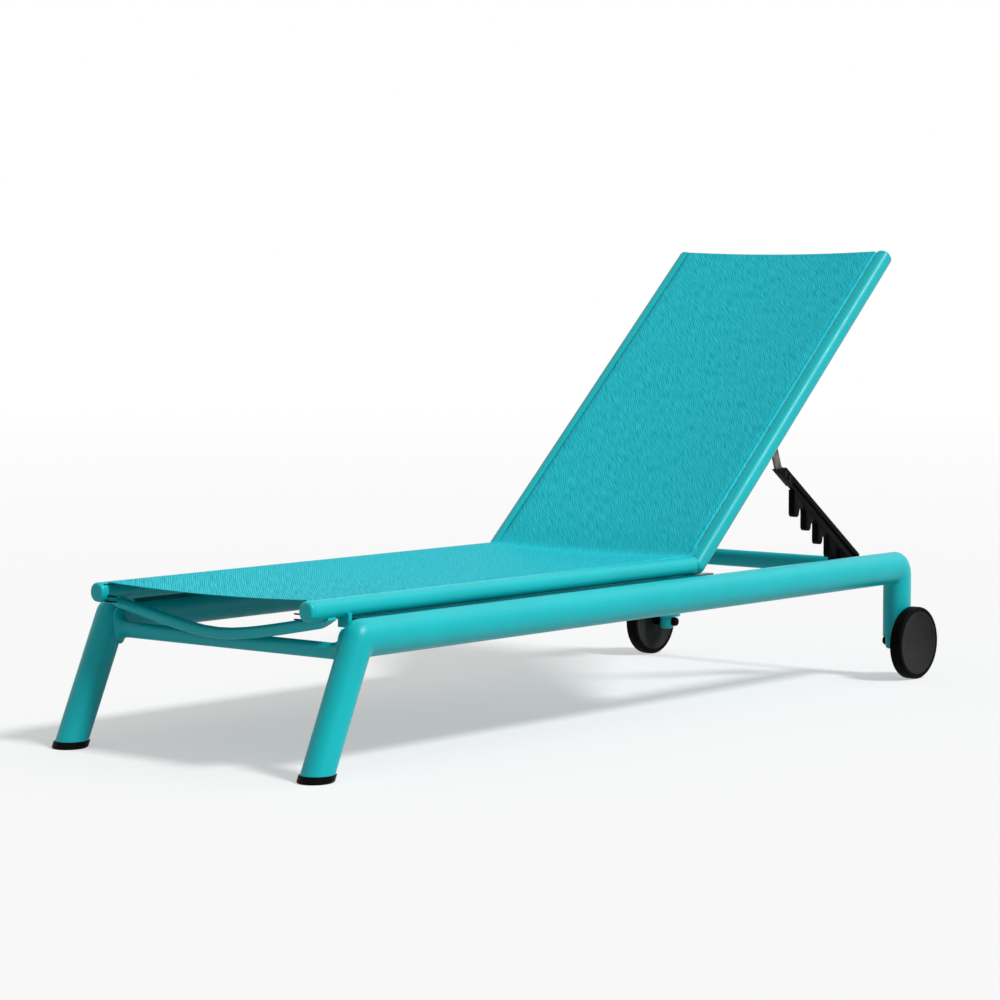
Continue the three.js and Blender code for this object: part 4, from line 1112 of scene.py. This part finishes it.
# ---------------------------------------------------------------- stage
@dataclass
class Studio:
    """A pale floor, soft lamps and the camera.

    Attributes:
        camera_place: where the camera stands.
        camera_pitch: its tilt up from straight down.
        camera_turn: its turn about the vertical.
        lens: its focal length, in millimetres.
        sensor: its sensor's width, in millimetres.
        far: how far it sees.
        floor_half: half the floor's side.
        floor_seen: the floor's grey for the eye.
        floor_grey: the floor's grey for light that it throws back.
        floor_rough: the floor's roughness.
        floor_white: how much of the floor is plain white near the lounger.
        white_from: how far out the floor starts to lift to white.
        white_to: how far out it is white.
        sun_from: the direction that the key lamp's light comes from.
        sun_strength: its irradiance.
        sun_angle: how wide it looks.
        fill_from: the direction that the fill lamp's light comes from.
        fill_strength: its irradiance.
        fill_angle: how wide it looks.
        room_light: the strength of the even light from all round.
    """

    camera_place: Point = (3.8400, -4.6894, 0.8466)
    camera_pitch: float = math.radians(85.9)
    camera_turn: float = math.radians(39.74)
    lens: float = 111.307
    sensor: float = 36.0
    far: float = 200.0
    floor_half: float = 60.0
    floor_seen: float = 0.88
    floor_grey: float = 0.50
    floor_rough: float = 0.9
    floor_white: float = 0.46
    white_from: float = 2.6
    white_to: float = 14.0
    sun_from: Point = (0.92, 0.16, 1.05)
    sun_strength: float = 2.85
    sun_angle: float = math.radians(12.0)
    fill_from: Point = (0.45, 0.80, 0.80)
    fill_strength: float = 0.30
    fill_angle: float = math.radians(50.0)
    room_light: float = 0.27

    def build(self) -> None:
        """Builds the floor, the lamps, the world and the camera."""
        self.floor()
        self.lamps()
        self.world()
        self.camera()

    def floor(self) -> None:
        """Lays a plain floor that keeps the shadow and lifts to white for the camera."""
        deselect()
        bpy.ops.mesh.primitive_plane_add(size=2 * self.floor_half)
        floor = bpy.context.active_object
        floor.name = "studio_floor"
        nodes = NodeTree.material("studio_floor")
        seen = self.seen(nodes)
        grey = nodes.spread(seen, 0.0, 1.0, self.floor_grey, self.floor_seen)
        nodes.surface(Base_Color=grey, Roughness=self.floor_rough, Specular_IOR_Level=0.0)
        glow = nodes.add("Emission", Color=WHITE, Strength=1.0)
        distance = nodes.add("VectorMath", {"operation": "LENGTH"})
        nodes.feed(distance, 0, nodes.place())
        run = distance.outputs["Value"]
        white = nodes.spread(run, self.white_from, self.white_to, self.floor_white, 1.0)
        # The two shaders of a Mix Shader are its inputs 1 and 2.
        mix = nodes.add("MixShader", Fac=nodes.maths("MULTIPLY", white, seen))
        nodes.feed(mix, 1, nodes.tree.nodes["Principled BSDF"].outputs[0])
        nodes.feed(mix, 2, glow.outputs[0])
        nodes.feed(nodes.tree.nodes["Material Output"], "Surface", mix.outputs[0])
        floor.data.materials.append(nodes.owner)

    @staticmethod
    def seen(nodes: NodeTree) -> bpy.types.NodeSocket:
        """One where the eye, a reflection or a clear piece sees the surface, zero for other light.

        Args:
            nodes: the material or world being built.

        Returns:
            The value's socket.
        """
        path = nodes.add("LightPath")
        first = nodes.maths("MAXIMUM", path.outputs["Is Camera Ray"], path.outputs["Is Glossy Ray"])
        return nodes.maths("MAXIMUM", first, path.outputs["Is Transmission Ray"])

    def lamps(self) -> None:
        """Adds the key lamp on the right and a wide lamp behind it."""
        self.lamp("key", self.sun_from, self.sun_strength, self.sun_angle)
        self.lamp("fill", self.fill_from, self.fill_strength, self.fill_angle)

    @staticmethod
    def lamp(name: str, source: Point, strength: float, angle: float) -> None:
        """Adds a distant lamp.

        Args:
            name: the lamp's name.
            source: the direction the light comes from.
            strength: its irradiance.
            angle: how wide the lamp looks from the floor.
        """
        data = bpy.data.lights.new(name, "SUN")
        data.energy = strength
        data.angle = angle
        lamp = bpy.data.objects.new(name, data)
        lamp.rotation_euler = Vector(source).to_track_quat("Z", "Y").to_euler()
        bpy.context.scene.collection.objects.link(lamp)

    def world(self) -> None:
        """Lights the room evenly, and shows white to the camera."""
        world = bpy.data.worlds.new("studio")
        bpy.context.scene.world = world
        nodes = NodeTree(world)
        background = nodes.tree.nodes["Background"]
        nodes.feed(background, "Color", WHITE)
        nodes.feed(background, "Strength", nodes.spread(self.seen(nodes), 0.0, 1.0, self.room_light, 1.0))

    def camera(self) -> None:
        """Sets the camera."""
        data = bpy.data.cameras.new("view")
        data.lens = self.lens
        data.sensor_width = self.sensor
        data.clip_end = self.far
        camera = bpy.data.objects.new("view", data)
        camera.location = self.camera_place
        camera.rotation_euler = Euler((self.camera_pitch, 0.0, self.camera_turn))
        bpy.context.scene.collection.objects.link(camera)
        bpy.context.scene.camera = camera
        bpy.context.scene.view_settings.view_transform = "Standard"


# ---------------------------------------------------------------- the lounger
@dataclass
class Lounger:
    """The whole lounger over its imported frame.

    Attributes:
        finishes: the materials.
        smoothing: the shading of the CAD nodes.
        front_cut: a point on the cut of the front bow's right end.
        front_lean: how far that cut leans out from straight down.
        top_lean: how far the cut of the back's bow faces sideways, for each metre that it faces back.
        top_reach: how far that cut is from the rail's axis.
    """

    frame: dict
    finishes: Finishes = field(default_factory=Finishes)
    smoothing: SmoothShading = field(default_factory=SmoothShading)
    front_cut: Point = (0.250, 0.0, 0.2515)
    front_lean: float = math.radians(33.5)
    top_lean: float = 0.81
    top_reach: float = 0.0180

    def dress_nodes(self) -> None:
        """Gives every CAD node its finish and smooth shading between its sharp edges."""
        slots = {part["node"]: part["material_slot"] for part in self.frame["record"]["subparts"]}
        for name, node in self.frame["nodes"].items():
            self.finishes.dress(node, slots[name])
            self.smoothing.add_to(node)

    def joint(self, name: str) -> dict:
        """A joint of the frame, by name."""
        return next(joint for joint in self.frame["joints"] if joint["name"] == name)

    def bows(self, joint: Vector, back_angle: float) -> list[TrimmedBow]:
        """The two bows whose ends are cut up to their rails.

        Args:
            joint: where the back turns.
            back_angle: how far the back is raised.

        Returns:
            The bows.
        """
        low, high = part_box("back_rail_right")
        rail = Vector(((low[0] + high[0]) / 2, joint.y, joint.z))
        behind = Vector((0.0, math.sin(back_angle), -math.cos(back_angle)))
        outward = (Vector((self.top_lean, 0.0, 0.0)) + behind).normalized()
        downward = Vector((math.sin(self.front_lean), 0.0, -math.cos(self.front_lean)))
        cuts = (
            ("seat_bow_front", "front_bow", Body.FRAME, Vector(self.front_cut), downward),
            ("back_bow_top", "top_bow", Body.BACK, rail + outward * self.top_reach, outward),
        )
        return [TrimmedBow(self.frame, self.finishes, *cut) for cut in cuts]

    def build(self) -> None:
        """Builds every piece."""
        self.dress_nodes()
        recline = self.joint("back_recline")
        back_angle = math.radians(abs(min(recline["range_deg"])))
        sheet = SlingSheet(self.finishes, Vector(recline["pos_m"]), back_angle)
        LOG.info("built %s", sheet.build().name)
        LOG.info("built %d lock screws", len(LockScrew(self.finishes).build()))
        LOG.info("built %d racks", len(RackMouldings(self.frame, self.finishes).build()))
        for bow in self.bows(sheet.joint, sheet.back_angle):
            LOG.info("built %s", bow.build().name)


def main() -> None:
    """Builds the lounger and its stage, in order."""
    logging.basicConfig(level=logging.INFO, format="%(name)s: %(message)s")
    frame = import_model()
    Studio().build()
    Lounger(frame).build()


if __name__ == "__main__":
    main()
